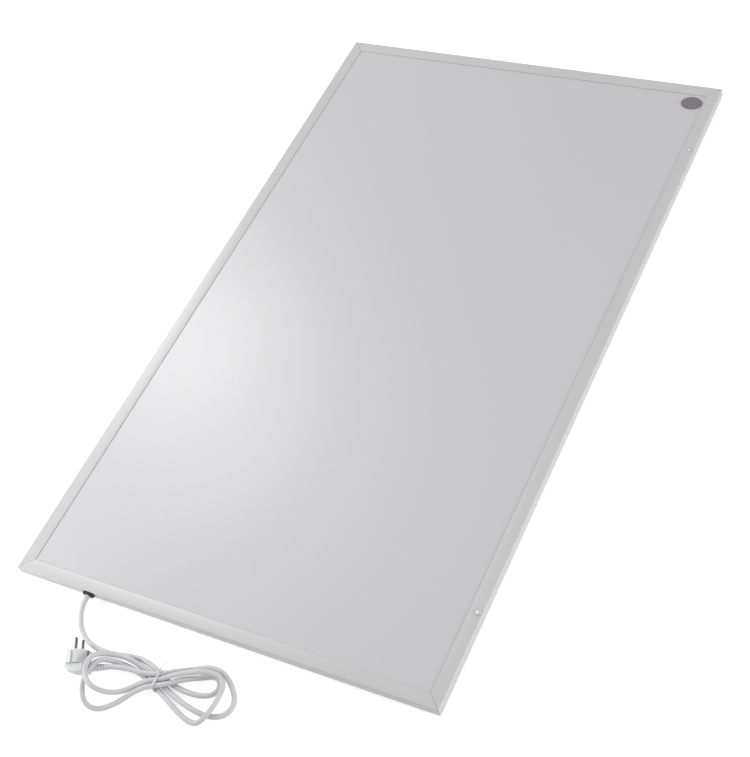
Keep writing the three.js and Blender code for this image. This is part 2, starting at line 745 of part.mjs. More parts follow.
function addWires() {
  const h = terminalHoleHeight;
  const start = sheathEnd + GAP;
  const spread = WIRE_DIAMETER / 2 + GAP;
  const cores = [
    ['earth_core', poleX[0], -1, EARTH_WIRE],
    ['neutral_core', poleX[1], 0, BLUE_WIRE],
    ['live_core', poleX[2], 1, BROWN_WIRE],
  ];
  for (const [name, x, side, material] of cores) {
    const from = cordEntryX + side * CORE_OFFSET;
    const rise = side === 0 ? spread : -spread / 2;
    addWire(name, [
      [from, start, cordHeight + rise],
      [from, start + 2, cordHeight + rise],
      [(from + x) / 2, (start + terminalFront) / 2, (h + cordHeight + rise) / 2],
      [x, terminalFront - 2, h],
      [x, wireIn, h],
    ], material);
  }
  const [tabNeutral, tabLive] = TAB_POSITIONS.map((offset) => cordEntryX + offset);
  const tabY = pocketFar - TAB_LENGTH / 2;
  const tabZ = elementBottom - GAP - WIRE_DIAMETER / 2;
  const caseEnd = cutoutX + CUTOUT_LENGTH;
  addWire('live_link', [
    [poleX[2], wireOut, h],
    [poleX[2], terminalBack + 3, h],
    [poleX[2] + 6, terminalBack + 6, h],
    [poleX[2] + 13, terminalBack + 2, h],
    [cutoutX - 8, cutoutY + 2, h],
    [cutoutX - 4, cutoutY, h],
    [cutoutX - GAP, cutoutY, h],
  ], BROWN_WIRE);
  addWire('live_element_lead', [
    [caseEnd - 1.5, cutoutY, h],
    [caseEnd + 4, cutoutY, h],
    [caseEnd + 15, cutoutY, h],
    [tabLive - 5, cutoutY + 7, h],
    [tabLive, cutoutY + 17, h],
    [tabLive, tabY - 4, tabZ],
    [tabLive, tabY + 2, tabZ],
  ], BROWN_WIRE);
  addWire('neutral_element_lead', [
    [poleX[1], wireOut, h],
    [poleX[1], terminalBack + 4, h],
    [poleX[1] + 4, terminalBack + 11, h],
    [poleX[1] + 16, terminalBack + 12, h],
    [tabNeutral - 20, terminalBack + 10, h],
    [tabNeutral - 6, terminalBack + 10, h],
    [tabNeutral, tabY - 4, tabZ],
    [tabNeutral, tabY + 2, tabZ],
  ], BLUE_WIRE);
}

// A ring lug under a screw bonds the earth core to the rear cover.
function addEarthBond() {
  const [x, y] = earthPlace();
  const lugTop = floorInside + EARTH_LUG_THICKNESS;
  const lug = new THREE.Shape();
  lug.absarc(x, y, EARTH_LUG_DIAMETER / 2, 0, 2 * Math.PI, false);
  lug.holes.push(roundHole(x, y, EARTH_SCREW_SHANK + 2 * GAP));
  add('earth_lug', slab(lug, floorInside, lugTop), STEEL);

  const seat = lugTop + GAP;
  const screw = turned([
    [0, rearCoverBottom - GAP],
    [EARTH_SCREW_SHANK / 2, rearCoverBottom - GAP],
    [EARTH_SCREW_SHANK / 2, seat],
    [EARTH_SCREW_HEAD / 2, seat],
    [EARTH_SCREW_HEAD / 2, seat + EARTH_SCREW_HEIGHT * 0.6],
    [EARTH_SCREW_HEAD / 4, seat + EARTH_SCREW_HEIGHT],
    [0, seat + EARTH_SCREW_HEIGHT],
  ], 20);
  add('earth_screw', screw.translate(x, y, 0), STEEL);

  const h = terminalHoleHeight;
  const wireRest = floorInside + WIRE_DIAMETER / 2;
  addWire('earth_bond_wire', [
    [poleX[0], wireOut, h],
    [poleX[0], terminalBack + 4, h],
    [poleX[0] - 6, terminalBack + 9, h],
    [poleX[0] - 16, terminalBack + 6, h],
    [x + 3, y + 24, h],
    [x, y + 14, wireRest],
    [x, y + EARTH_LUG_DIAMETER / 2 + GAP, wireRest],
  ], EARTH_WIRE);
}

// ---------------------------------------------------------------- plug

const pinsAxis = new THREE.Vector3(...PLUG_PINS_HEADING).normalize();
const cordAxis = new THREE.Vector3(...PLUG_CORD_HEADING);
cordAxis.addScaledVector(pinsAxis, -cordAxis.dot(pinsAxis)).normalize();
const sideAxis = new THREE.Vector3().crossVectors(pinsAxis, cordAxis);
const plugTurn = new THREE.Matrix4().makeBasis(cordAxis, sideAxis, pinsAxis);

// In the plug's own frame the pins point along Z, and the cord leaves along X.
const coverFront = -PLUG_BODY_DEPTH - GAP;
const coverBack = coverFront - PLUG_COVER_DEPTH;
const reliefAxisZ = (coverFront + coverBack) / 2;
const reliefStart = PLUG_FLATS / 2 + GAP;

function plugBodyGeometry() {
  const radius = PLUG_DIAMETER / 2;
  const round = bar(0, 0, -PLUG_BODY_DEPTH, 0, PLUG_DIAMETER, 36);
  const flats = [-1, 1].map((side) => {
    const from = side * (PLUG_FLATS / 2);
    const to = side * (radius + 2);
    return block(
      [Math.min(from, to), -radius, -PLUG_BODY_DEPTH - 1],
      [Math.max(from, to), radius, 1]
    );
  });
  const grooves = [-1, 1].map((side) => {
    const from = side * (radius - PLUG_GROOVE_DEPTH);
    const to = side * (radius + 2);
    return block(
      [-PLUG_GROOVE_WIDTH / 2, Math.min(from, to), -PLUG_BODY_DEPTH - 1],
      [PLUG_GROOVE_WIDTH / 2, Math.max(from, to), 1]
    );
  });
  const stripSeat = EARTH_STRIP_THICKNESS + GAP;
  const seats = [-1, 1].map((side) => {
    const from = side * (PLUG_FLATS / 2 - stripSeat);
    const to = side * (radius + 2);
    return block(
      [Math.min(from, to), -EARTH_STRIP_WIDTH / 2 - GAP, -EARTH_STRIP_LENGTH - GAP],
      [Math.max(from, to), EARTH_STRIP_WIDTH / 2 + GAP, 1]
    );
  });
  const bores = [-1, 1].map((side) =>
    bar(0, (side * PIN_SPACING) / 2, -PIN_ROOT - GAP, 1, PIN_DIAMETER + 2 * GAP)
  );
  return cut(round, ...flats, ...grooves, ...seats, ...bores);
}

function plugCoverGeometry() {
  const half = PLUG_FLATS / 2;
  const cover = polygon([
    [half, coverFront],
    [-half, coverFront],
    [-half, coverBack + PLUG_COVER_CHAMFER],
    [-half + PLUG_COVER_CHAMFER, coverBack],
    [half - 2, coverBack],
    [half, coverBack + 2],
  ]);
  const options = { depth: PLUG_COVER_HEIGHT, bevelEnabled: false };
  const geometry = new THREE.ExtrudeGeometry(cover, options);
  return geometry.rotateX(Math.PI / 2).translate(0, PLUG_COVER_HEIGHT / 2, 0);
}

function pinGeometry() {
  const radius = PIN_DIAMETER / 2;
  const crown = domeProfile(radius, PIN_LENGTH - radius, radius, 4);
  return turned([[0, -PIN_ROOT], [radius, -PIN_ROOT], ...crown], 16);
}

// The cord's sleeve is a tapered bar with square grooves round it.
function reliefGeometry() {
  const profile = [[0, 0]];
  const pitch = RELIEF_LENGTH / (RELIEF_RIBS + 1);
  const radiusAt = (t) => (RELIEF_ROOT + (RELIEF_TIP - RELIEF_ROOT) * (t / RELIEF_LENGTH)) / 2;
  profile.push([radiusAt(0), 0]);
  for (let i = 1; i <= RELIEF_RIBS; i += 1) {
    const from = i * pitch - pitch / 4;
    const to = i * pitch + pitch / 4;
    profile.push([radiusAt(from), from]);
    profile.push([radiusAt(from) - RELIEF_GROOVE, from]);
    profile.push([radiusAt(to) - RELIEF_GROOVE, to]);
    profile.push([radiusAt(to), to]);
  }
  profile.push([radiusAt(RELIEF_LENGTH), RELIEF_LENGTH]);
  profile.push([0, RELIEF_LENGTH]);
  return turned(profile, 16).rotateY(Math.PI / 2).translate(reliefStart, 0, reliefAxisZ);
}

const plugParts = [
  ['plug_body', plugBodyGeometry(), WHITE_PLUG],
  ['plug_rear_cover', plugCoverGeometry(), WHITE_PLUG],
  ['plug_strain_relief', reliefGeometry(), WHITE_PLUG],
];
for (const [name, side] of [['upper', -1], ['lower', 1]]) {
  const pin = pinGeometry().translate(0, (side * PIN_SPACING) / 2, 0);
  plugParts.push([`plug_pin_${name}`, pin, STEEL]);
}
for (const [name, side] of [['left', -1], ['right', 1]]) {
  const outer = side * (PLUG_FLATS / 2);
  const inner = side * (PLUG_FLATS / 2 - EARTH_STRIP_THICKNESS);
  const strip = block(
    [Math.min(outer, inner), -EARTH_STRIP_WIDTH / 2, -EARTH_STRIP_LENGTH],
    [Math.max(outer, inner), EARTH_STRIP_WIDTH / 2, 0]
  );
  plugParts.push([`plug_earth_strip_${name}`, strip, STEEL]);
}

// The plug lies back on its rear corner, so its lowest point sets its height.
for (const part of plugParts) part[1].applyMatrix4(plugTurn);
let plugLowest = Infinity;
for (const [, geometry] of plugParts) {
  geometry.computeBoundingBox();
  plugLowest = Math.min(plugLowest, geometry.boundingBox.min.z);
}
const plugFace = fromEntry([...PLUG_FACE_OFFSET, FLOOR_CLEARANCE - plugLowest]);

function addPlug() {
  for (const [name, geometry, material] of plugParts) {
    add(name, geometry.translate(...plugFace.toArray()), material);
  }
}

function plugPoint(along, back) {
  return plugFace.clone().addScaledVector(cordAxis, along).addScaledVector(pinsAxis, back);
}

// ---------------------------------------------------------------- supply cord

const slant = THREE.MathUtils.degToRad(STRAND_SLANT);
const floorLevel = cordRadius + FLOOR_CLEARANCE;
const lowLayer = floorLevel + TIE_LIFT;
const highLayer = lowLayer + LAYER_PITCH;
const tieCentre = fromEntry([...TIE_OFFSET, 0]);

function heading(degrees) {
  const angle = THREE.MathUtils.degToRad(degrees);
  return new THREE.Vector3(Math.cos(angle), Math.sin(angle), 0);
}

// Where a strand crosses the tie: its column counts north, its layer counts up.
function slot([column, layer]) {
  const y = tieCentre.y + (column * STRAND_PITCH) / Math.cos(slant);
  return new THREE.Vector3(tieCentre.x, y, layer === 0 ? lowLayer : highLayer);
}

// Each loop leaves the tie, goes round its far point and comes back to the tie.
// turn is the way to the far point, lean tips the loop's end, grip and pull are handle lengths.
// rise holds pairs: a share of the loop, and the height of the cord's middle there.
const LOOPS = [
  {
    reach: 76, turn: 17, lean: 10, grip: [42, 33], pull: [23, 24], from: [1, 0], to: [-1, 1],
    rise: [
      [0, lowLayer], [0.12, lowLayer], [0.3, floorLevel], [0.7, floorLevel],
      [0.86, highLayer], [1, highLayer],
    ],
  },
  {
    reach: 90, turn: 209, lean: -8, grip: [30, 89], pull: [44, 29], from: [-1, 1], to: [-1, 0],
    rise: [
      [0, highLayer], [0.08, highLayer], [0.24, floorLevel], [0.31, floorLevel],
      [0.56, 24.6], [0.71, 24.6], [0.89, lowLayer], [1, lowLayer],
    ],
  },
  {
    reach: 83, turn: -3, lean: -2, grip: [52, 32], pull: [46, 66], from: [-1, 0], to: [0, 1],
    rise: [
      [0, lowLayer], [0.08, lowLayer], [0.22, floorLevel], [0.29, floorLevel],
      [0.45, 10.8], [0.6, 10.8], [0.84, 17], [0.9, 17], [1, highLayer],
    ],
  },
  {
    reach: 82, turn: 204, lean: 29, grip: [35, 95], pull: [36, 28], from: [0, 1], to: [0, 0],
    rise: [
      [0, highLayer], [0.08, highLayer], [0.2, 9.6], [0.47, 31.6],
      [0.66, 31.6], [0.86, 12], [0.95, lowLayer], [1, lowLayer],
    ],
  },
  {
    reach: 97, turn: 10, lean: 31, grip: [110, 30], pull: [23, 62], from: [0, 0], to: [1, 1],
    rise: [
      [0, lowLayer], [0.08, lowLayer], [0.22, floorLevel], [0.78, floorLevel],
      [0.95, highLayer], [1, highLayer],
    ],
  },
];

function heightAt(rise, t) {
  let height = rise[0][1];
  for (let i = 1; i < rise.length; i += 1) {
    const [from, low] = rise[i - 1];
    const [to, high] = rise[i];
    if (t >= from) height = low + (high - low) * THREE.MathUtils.smoothstep(t, from, to);
  }
  return height;
}

function loopPoints(loop) {
  const toRight = Math.cos(THREE.MathUtils.degToRad(loop.turn)) > 0;
  const leave = heading(toRight ? -STRAND_SLANT : 180 + STRAND_SLANT);
  const arrive = heading(toRight ? 180 + STRAND_SLANT : -STRAND_SLANT);
  const start = slot(loop.from);
  const end = slot(loop.to);
  const far = tieCentre.clone().addScaledVector(heading(loop.turn), loop.reach);
  const sweep = heading(loop.turn + (toRight ? 90 : -90) + loop.lean);
  const out = new THREE.CubicBezierCurve3(
    start,
    start.clone().addScaledVector(leave, loop.grip[0]),
    far.clone().addScaledVector(sweep, -loop.pull[0]),
    far
  );
  const back = new THREE.CubicBezierCurve3(
    far,
    far.clone().addScaledVector(sweep, loop.pull[1]),
    end.clone().addScaledVector(arrive, -loop.grip[1]),
    end
  );
  const half = HANK_STEPS_PER_LOOP / 2;
  const points = [];
  for (let i = 0; i <= HANK_STEPS_PER_LOOP; i += 1) {
    const point = i <= half ? out.getPoint(i / half) : back.getPoint((i - half) / half);
    point.z = heightAt(loop.rise, i / HANK_STEPS_PER_LOOP);
    points.push(point);
  }
  return points;
}

const hankStart = slot([1, 0]).addScaledVector(heading(-STRAND_SLANT), -HANK_END_RUN);
const hankEnd = slot([1, 1]).addScaledVector(heading(180 + STRAND_SLANT), HANK_END_RUN);

function hankRoute() {
  const points = [hankStart];
  for (const loop of LOOPS) {
    const turn = loopPoints(loop);
    points.push(...turn.slice(0, -1));
  }
  points.push(slot([1, 1]));
  points.push(hankEnd);
  return points;
}

// The least distance between a tube's surface and another stretch of it.
function leastGap(points, diameter, skip) {
  let least = Infinity;
  for (let i = 0; i < points.length; i += 1) {
    let along = 0;
    for (let j = i + 1; j < points.length; j += 1) {
      along += points[j].distanceTo(points[j - 1]);
      if (along > skip) least = Math.min(least, points[i].distanceTo(points[j]) - diameter);
    }
  }
  return least;
}

// The lead runs from the grommet down to the floor and on to the hank, in points from its entry.
const LEAD_ROUTE = [
  [0, -3.3, 13.65],
  [0, -8, 13.65],
  [0, -14, 12.6],
  [0.4, -22, 9],
  [2.5, -30, 5],
  [7, -38, 3.6],
  [14.5, -45.3, floorLevel],
  [23, -51, floorLevel],
  [33, -55.3, floorLevel],
  [44, -57.8, floorLevel],
  [56, -58.6, floorLevel],
  [69, -57.7, floorLevel],
  [82, -55.6, floorLevel],
  [95, -53.2, floorLevel],
  [108, -52.2, 3.5],
  [121, -53.9, 4.2],
  [131, -57, 4.6],
];

// The tail runs from the hank up to the plug's sleeve, in points from the entry.
const TAIL_ROUTE = [
  [130, -68.6, 11.9],
  [121, -70, 12.9],
  [111, -71.2, 14.1],
  [101, -72.6, 15.3],
];

function addCord() {
  const away = heading(-STRAND_SLANT);
  const leadEnd = hankStart.clone().addScaledVector(away, -GAP);
  const leadNearEnd = leadEnd.clone().addScaledVector(away, -cordRadius);
  const lead = [...LEAD_ROUTE.map(fromEntry), leadNearEnd, leadEnd];
  add('cord_lead', tube(lead, CORD_DIAMETER, CORD_SIDES, LEAD_STEPS), WHITE_CORD);

  const hank = hankRoute();
  add('cord_hank', tube(hank, CORD_DIAMETER, HANK_SIDES, hank.length - 1), WHITE_CORD);

  const back = heading(180 + STRAND_SLANT);
  const tailStart = hankEnd.clone().addScaledVector(back, GAP);
  const tailNearStart = tailStart.clone().addScaledVector(back, cordRadius);
  const sleeve = reliefStart + RELIEF_LENGTH + GAP;
  const tailEnd = plugPoint(sleeve, reliefAxisZ);
  const tailNearEnd = plugPoint(sleeve + cordRadius, reliefAxisZ);
  const tail = [tailStart, tailNearStart, ...TAIL_ROUTE.map(fromEntry), tailNearEnd, tailEnd];
  add('cord_tail', tube(tail, CORD_DIAMETER, CORD_SIDES, TAIL_STEPS), WHITE_CORD);

  const lengths = [lead, hank, tail].map((points) => new THREE.CatmullRomCurve3(points).getLength());
  const total = lengths.reduce((sum, length) => sum + length);
  const dense = new THREE.CatmullRomCurve3(hank).getSpacedPoints(GAP_SAMPLES);
  const gap = leastGap(dense, CORD_DIAMETER, GAP_SKIP);
  console.log(`cord length ${total.toFixed(0)} mm, hank ${lengths[1].toFixed(0)} mm`);
  console.log(`least gap of the hank to itself ${gap.toFixed(2)} mm`);
}

// The tie's long and short wire ends, in points from the middle of its top.
const TIE_ENDS = [
  [[0, 6, 0], [1, 9, 4], [4, 14, 8], [9, 19, 11]],
  [[0.5, 5, 0], [5, 5, 4], [9, 4, 4], [12, 1, 0]],
];

// A flat band round the waist of the hank, with its twisted ends standing up.
function addTie() {
  const side = STRAND_PITCH / Math.cos(slant) + cordRadius / Math.cos(slant) + TIE_SLACK;
  const inner = { low: lowLayer - cordRadius - GAP, high: highLayer + cordRadius + GAP };
  const ring = (offset) => {
    const shape = new THREE.Shape();
    const corner = cordRadius + offset;
    const y = side + offset;
    const low = inner.low - offset;
    const high = inner.high + offset;
    shape.absarc(y - corner, high - corner, corner, 0, Math.PI / 2, false);
    shape.absarc(-y + corner, high - corner, corner, Math.PI / 2, Math.PI, false);
    shape.absarc(-y + corner, low + corner, corner, Math.PI, 1.5 * Math.PI, false);
    shape.absarc(y - corner, low + corner, corner, 1.5 * Math.PI, 2 * Math.PI, false);
    return shape;
  };
  const band = ring(TIE_THICKNESS);
  band.holes.push(new THREE.Path(ring(0).getPoints(6)));
  const options = { depth: TIE_WIDTH, bevelEnabled: false, curveSegments: 6 };
  const loop = new THREE.ExtrudeGeometry(band, options).rotateX(Math.PI / 2).rotateZ(Math.PI / 2);
  loop.translate(tieCentre.x - TIE_WIDTH / 2, tieCentre.y, 0);
  const top = new THREE.Vector3(tieCentre.x, tieCentre.y, inner.high + TIE_THICKNESS / 2);
  const ends = TIE_ENDS.map((points) => {
    const route = points.map((point) => new THREE.Vector3(...point).add(top));
    return tube(route, TIE_WIRE, TIE_END_SIDES, TIE_END_STEPS);
  });
  add('cord_tie', join(loop, ...ends), GREY_NYLON);
}

// ---------------------------------------------------------------- assembly

addFrame();
addCornerKeys();
addFrameScrews();
addSheets();
addHangers();
addBadge();
addCordEntry();
addTerminalBlock();
addThermalCutout();
addWires();
addEarthBond();
addPlug();
addCord();
addTie();

export default heater;
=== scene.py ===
import math

import bpy
from bpy.props import FloatProperty, FloatVectorProperty, PointerProperty
from mathutils import Matrix, Vector


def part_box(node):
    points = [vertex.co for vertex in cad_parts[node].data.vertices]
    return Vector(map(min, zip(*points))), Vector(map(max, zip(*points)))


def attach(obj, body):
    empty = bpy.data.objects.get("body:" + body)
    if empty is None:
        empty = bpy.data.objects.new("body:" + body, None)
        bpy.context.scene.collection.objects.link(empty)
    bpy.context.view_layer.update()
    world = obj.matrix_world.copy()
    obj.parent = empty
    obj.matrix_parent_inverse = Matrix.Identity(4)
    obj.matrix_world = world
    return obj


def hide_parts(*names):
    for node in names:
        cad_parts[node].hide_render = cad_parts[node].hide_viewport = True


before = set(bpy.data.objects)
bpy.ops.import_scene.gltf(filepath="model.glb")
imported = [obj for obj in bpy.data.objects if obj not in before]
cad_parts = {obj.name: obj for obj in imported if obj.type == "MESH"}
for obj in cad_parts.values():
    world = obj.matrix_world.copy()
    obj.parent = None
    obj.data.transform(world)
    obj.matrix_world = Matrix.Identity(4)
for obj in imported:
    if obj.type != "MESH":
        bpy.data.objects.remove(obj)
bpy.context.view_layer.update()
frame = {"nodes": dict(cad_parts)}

bl_info = {
    "name": "Infrared panel heater",
    "version": (1, 0, 0),
    "blender": (4, 5, 0),
    "location": "View3D > Sidebar > Heater",
    "description": "Dresses the packed panel heater with its frame, plate, cord, plug and hangers",
    "category": "Object",
}

MM = 0.001
PHOTO_SIZE = (750, 757)

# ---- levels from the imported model

FRAME_LOW, FRAME_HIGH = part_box("frame_bottom")
PANEL_HALF_WIDTH = FRAME_HIGH.x + 0.3 * MM / math.sqrt(2)
PANEL_HALF_LENGTH = -FRAME_LOW.y
FRAME_BACK = FRAME_LOW.z
FRAME_FRONT = FRAME_HIGH.z
COVER_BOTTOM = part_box("rear_cover")[0].z


# ---- colours and sizes to change

def linear(code):
    """An sRGB hex value as a linear colour."""
    parts = [int(code[i:i + 2], 16) / 255 for i in (1, 3, 5)]
    return tuple(c / 12.92 if c <= 0.04045 else ((c + 0.055) / 1.055) ** 2.4 for c in parts)


def length_property(name, description, value):
    return FloatProperty(name=name, description=description, default=value, min=0.0,
                         unit="LENGTH", precision=5)


def colour_property(name, description, code):
    return FloatVectorProperty(name=name, description=description, default=linear(code),
                               subtype="COLOR", size=3, min=0.0, max=1.0)


class HeaterSizes(bpy.types.PropertyGroup):
    """Sizes of the pieces that are modelled here, in metres."""

    flange_width: length_property(
        "Flange width", "Width of the frame's front flange", 17.5 * MM)
    flange_slope: length_property(
        "Flange slope", "Fall of the front flange from its outer to its inner edge", 1.1 * MM)
    rear_flange_width: length_property(
        "Rear flange width", "Width of the frame's rear flange", 14 * MM)
    frame_wall: length_property(
        "Frame wall", "Wall thickness of the aluminium profile", 1.5 * MM)
    frame_radius: length_property(
        "Frame radius", "Rounding of the frame's outer front edge", 1.5 * MM)
    lip_bevel: length_property(
        "Lip bevel", "Bevel of the frame's inner front edge", 0.3 * MM)
    mitre_gap: length_property(
        "Mitre gap", "Open joint between two mitred profiles", 0.3 * MM)
    screw_head: length_property(
        "Screw head", "Diameter of the screw heads in the frame", 7 * MM)
    cord_diameter: length_property(
        "Cord diameter", "Diameter of the supply cord", 6.5 * MM)
    plug_diameter: length_property(
        "Plug diameter", "Diameter of the plug's round body", 31 * MM)
    pin_diameter: length_property(
        "Pin diameter", "Diameter of the plug's pins", 4 * MM)


class HeaterColours(bpy.types.PropertyGroup):
    """Colours of the finishes."""

    frame: colour_property("Frame", "Powder coat on the aluminium profiles", "#C4C4C5")
    plate: colour_property("Plate", "Textured coat on the radiating plate", "#C7C6C8")
    cover: colour_property("Rear cover", "Plain coat on the rear cover", "#D9D9D6")
    cord: colour_property("Cord", "PVC sheath of the supply cord", "#CDCDCF")
    plug: colour_property("Plug", "Moulded plug and its sleeve", "#D9DADB")
    grommet: colour_property("Grommet", "Rubber bushing of the cord", "#161616")
    badge: colour_property("Badge", "Oval badge in the corner", "#79737A")
    tie: colour_property("Tie", "Coated wire tie round the cord", "#D2D2D0")


class HeaterStudio(bpy.types.PropertyGroup):
    """Light and floor round the object."""

    sky: FloatProperty(name="Sky", description="Strength of the even light", default=0.69, min=0.0)
    key: FloatProperty(name="Key light", description="Power of the soft light at the back left",
                       default=14.0, min=0.0, unit="POWER")
    side: FloatProperty(name="Side light", description="Power of the light on the right",
                        default=11.0, min=0.0, unit="POWER")
    low: FloatProperty(name="Low light", description="Power of the low light at the front left",
                       default=1.7, min=0.0, unit="POWER")
    floor: colour_property("Floor", "Colour of the floor and backdrop", "#D4D4D4")


# ---- modelling helpers

def to_object_mode():
    if bpy.context.mode != "OBJECT":
        bpy.ops.object.mode_set(mode="OBJECT")


def pick(piece):
    """Selects one piece alone, in object mode."""
    to_object_mode()
    bpy.ops.object.select_all(action="DESELECT")
    piece.select_set(True)
    bpy.context.view_layer.objects.active = piece


def start(name, operator, scale=(1, 1, 1), **settings):
    """Adds one primitive with nothing else selected, names it and puts its place in its mesh."""
    to_object_mode()
    bpy.ops.object.select_all(action="DESELECT")
    operator(**settings)
    piece = bpy.context.object
    piece.name = piece.data.name = name
    piece.scale = scale
    bpy.ops.object.transform_apply(location=True, rotation=True, scale=True)
    return piece


def block(name, centre, size):
    return start(name, bpy.ops.mesh.primitive_cube_add, size=1, location=centre, scale=size)


def rod(name, centre, radius, length, sides=48, lying=False):
    """A round rod, upright or lying along Y."""
    return start(name, bpy.ops.mesh.primitive_cylinder_add, vertices=sides, radius=radius,
                 depth=length, location=centre, rotation=(math.pi / 2 * lying, 0, 0))


def edit(piece, kind, test):
    """Opens a mesh for editing with only the points, edges or faces that pass a test selected."""
    pick(piece)
    mesh = piece.data
    for group in (mesh.vertices, mesh.edges, mesh.polygons):
        group.foreach_set("select", [False] * len(group))
    if kind == "VERT":
        for point in mesh.vertices:
            point.select = test(point.co)
    elif kind == "EDGE":
        for edge in mesh.edges:
            edge.select = test(*(mesh.vertices[i].co for i in edge.vertices))
    else:
        for face in mesh.polygons:
            face.select = test(face.center, face.normal)
    bpy.context.tool_settings.mesh_select_mode = tuple(kind == k for k in ("VERT", "EDGE", "FACE"))
    bpy.ops.object.mode_set(mode="EDIT")


def near(a, b, within=1e-5):
    return abs(a - b) < within


def at(**place_at):
    """A test for points or edges that lie at given coordinates, such as x=0."""
    return lambda *ends: all(near(getattr(end, axis), value)
                             for end in ends for axis, value in place_at.items())


def everything(*_):
    return True


def cut_away(piece, point, normal):
    """Bisects a closed mesh, drops what lies on the normal's side and closes the cut."""
    edit(piece, "FACE", everything)
    bpy.ops.mesh.bisect(plane_co=point, plane_no=normal, use_fill=True, clear_outer=True)
    to_object_mode()


def modify(piece, kind, **settings):
    """Adds a modifier and applies it."""
    pick(piece)
    bpy.ops.object.modifier_add(type=kind)
    modifier = piece.modifiers[-1]
    for key, value in settings.items():
        setattr(modifier, key, value)
    bpy.ops.object.modifier_apply(modifier=modifier.name)


def soften(piece, width, segments=2, angle=40):
    modify(piece, "BEVEL", width=width, segments=segments, limit_method="ANGLE",
           angle_limit=math.radians(angle), miter_outer="MITER_ARC")


def carve(piece, *cutters):
    """Cuts other meshes out of a piece and removes them."""
    for cutter in cutters:
        modify(piece, "BOOLEAN", object=cutter, operation="DIFFERENCE", solver="EXACT")
        bpy.data.objects.remove(cutter)


def recalculate(piece):
    """Merges doubles and turns all faces outwards."""
    edit(piece, "FACE", everything)
    bpy.ops.mesh.remove_doubles(threshold=1e-6)
    bpy.ops.mesh.normals_make_consistent(inside=False)
    to_object_mode()


def smooth(piece, angle=35):
    pick(piece)
    bpy.ops.object.shade_smooth_by_angle(angle=math.radians(angle))


def turned(name, profile, steps=48):
    """A turned piece on an upright axis through the origin, from pairs of radius and height."""
    piece = start(name, bpy.ops.mesh.primitive_plane_add, size=2 * MM)
    edit(piece, "VERT", lambda co: co.x > 0 or co.y > 0)
    bpy.ops.mesh.delete(type="VERT")
    bpy.ops.mesh.select_all(action="SELECT")
    here = Vector((-MM, -MM, 0))
    points = [Vector((radius, 0, height)) for radius, height in profile]
    bpy.ops.transform.translate(value=points[0] - here)
    for before, after in zip(points, points[1:]):
        bpy.ops.mesh.extrude_vertices_move(TRANSFORM_OT_translate={"value": after - before})
    bpy.ops.mesh.select_all(action="SELECT")
    bpy.ops.mesh.spin(steps=steps, angle=2 * math.pi, center=(0, 0, 0), axis=(0, 0, 1))
    recalculate(piece)
    return piece


def dome(radius, base, rise, steps=8):
    """Pairs of radius and height over a low dome, from its edge to its middle."""
    angles = [i / steps * math.pi / 2 for i in range(steps + 1)]
    pairs = [(radius * math.cos(a), base + rise * math.sin(a)) for a in angles[:-1]]
    return pairs + [(0.0, base + rise)]


def oval(name, width, height, low, high, x, z):
    """A round-ended slot that runs along X, made solid along Y."""
    piece = rod(name, (0, (low + high) / 2, 0), height / 2, high - low, lying=True)
    for side in (-1, 1):
        edit(piece, "VERT", lambda co: co.x * side > 1e-6)
        bpy.ops.transform.translate(value=(side * (width - height) / 2, 0, 0))
    edit(piece, "VERT", everything)
    bpy.ops.transform.translate(value=(x, 0, z))
    to_object_mode()
    return piece


def copy_of(piece, name):
    twin = piece.copy()
    twin.data = piece.data.copy()
    twin.name = twin.data.name = name
    bpy.context.scene.collection.objects.link(twin)
    return twin


def place(piece, matrix):
    """Moves a piece's mesh, so that its object stays at the origin."""
    piece.data.transform(matrix)
    piece.data.update()


def set_over(piece, cad, height, shape=Matrix()):
    """Moves a piece's mesh over the middle of a CAD node, at a height."""
    low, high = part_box(cad)
    middle = (low + high) / 2
    place(piece, Matrix.Translation((middle.x, middle.y, height)) @ shape)


def dress(piece, material, slot, *nodes):
    """Gives a finished piece its material, puts it under the panel's body and hides the nodes that
    it stands for; the slot is not used.
    """
    to_object_mode()
    piece.data.materials.clear()
    piece.data.materials.append(material)
    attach(piece, "panel")
    if nodes:
        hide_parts(*nodes)
    return piece


# ---- material helpers

def node(tree, kind, settings, links=()):
    """Adds one node. Settings name its inputs or attributes; links name the inputs that are fed."""
    made = tree.nodes.new(kind)
    for key, value in settings.items():
        if isinstance(key, str) and hasattr(made, key) and key not in made.inputs:
            setattr(made, key, value)
        else:
            made.inputs[key].default_value = value
    for key, source in dict(links).items():
        tree.links.new(source, made.inputs[key])
    return made


def surface(name, colour, **settings):
    """A material with one shader, and the object's own coordinates to draw patterns on."""
    made = bpy.data.materials.new(name)
    made.use_nodes = True
    made.diffuse_color = (*colour, 1)
    tree = made.node_tree
    tree.nodes.clear()
    shader = node(tree, "ShaderNodeBsdfPrincipled", {"Base Color": (*colour, 1), **settings})
    node(tree, "ShaderNodeOutputMaterial", {}, {"Surface": shader.outputs["BSDF"]})
    where = node(tree, "ShaderNodeTexCoord", {}).outputs["Object"]
    return made, tree, shader, where


def feed(made, shader, sources):
    """Links a material's shader to its patterns and gives the material back."""
    for key, source in sources.items():
        made.node_tree.links.new(source, shader.inputs[key])
    return made


def tint(colour, factor):
    return (*(min(1.0, c * factor) for c in colour), 1)


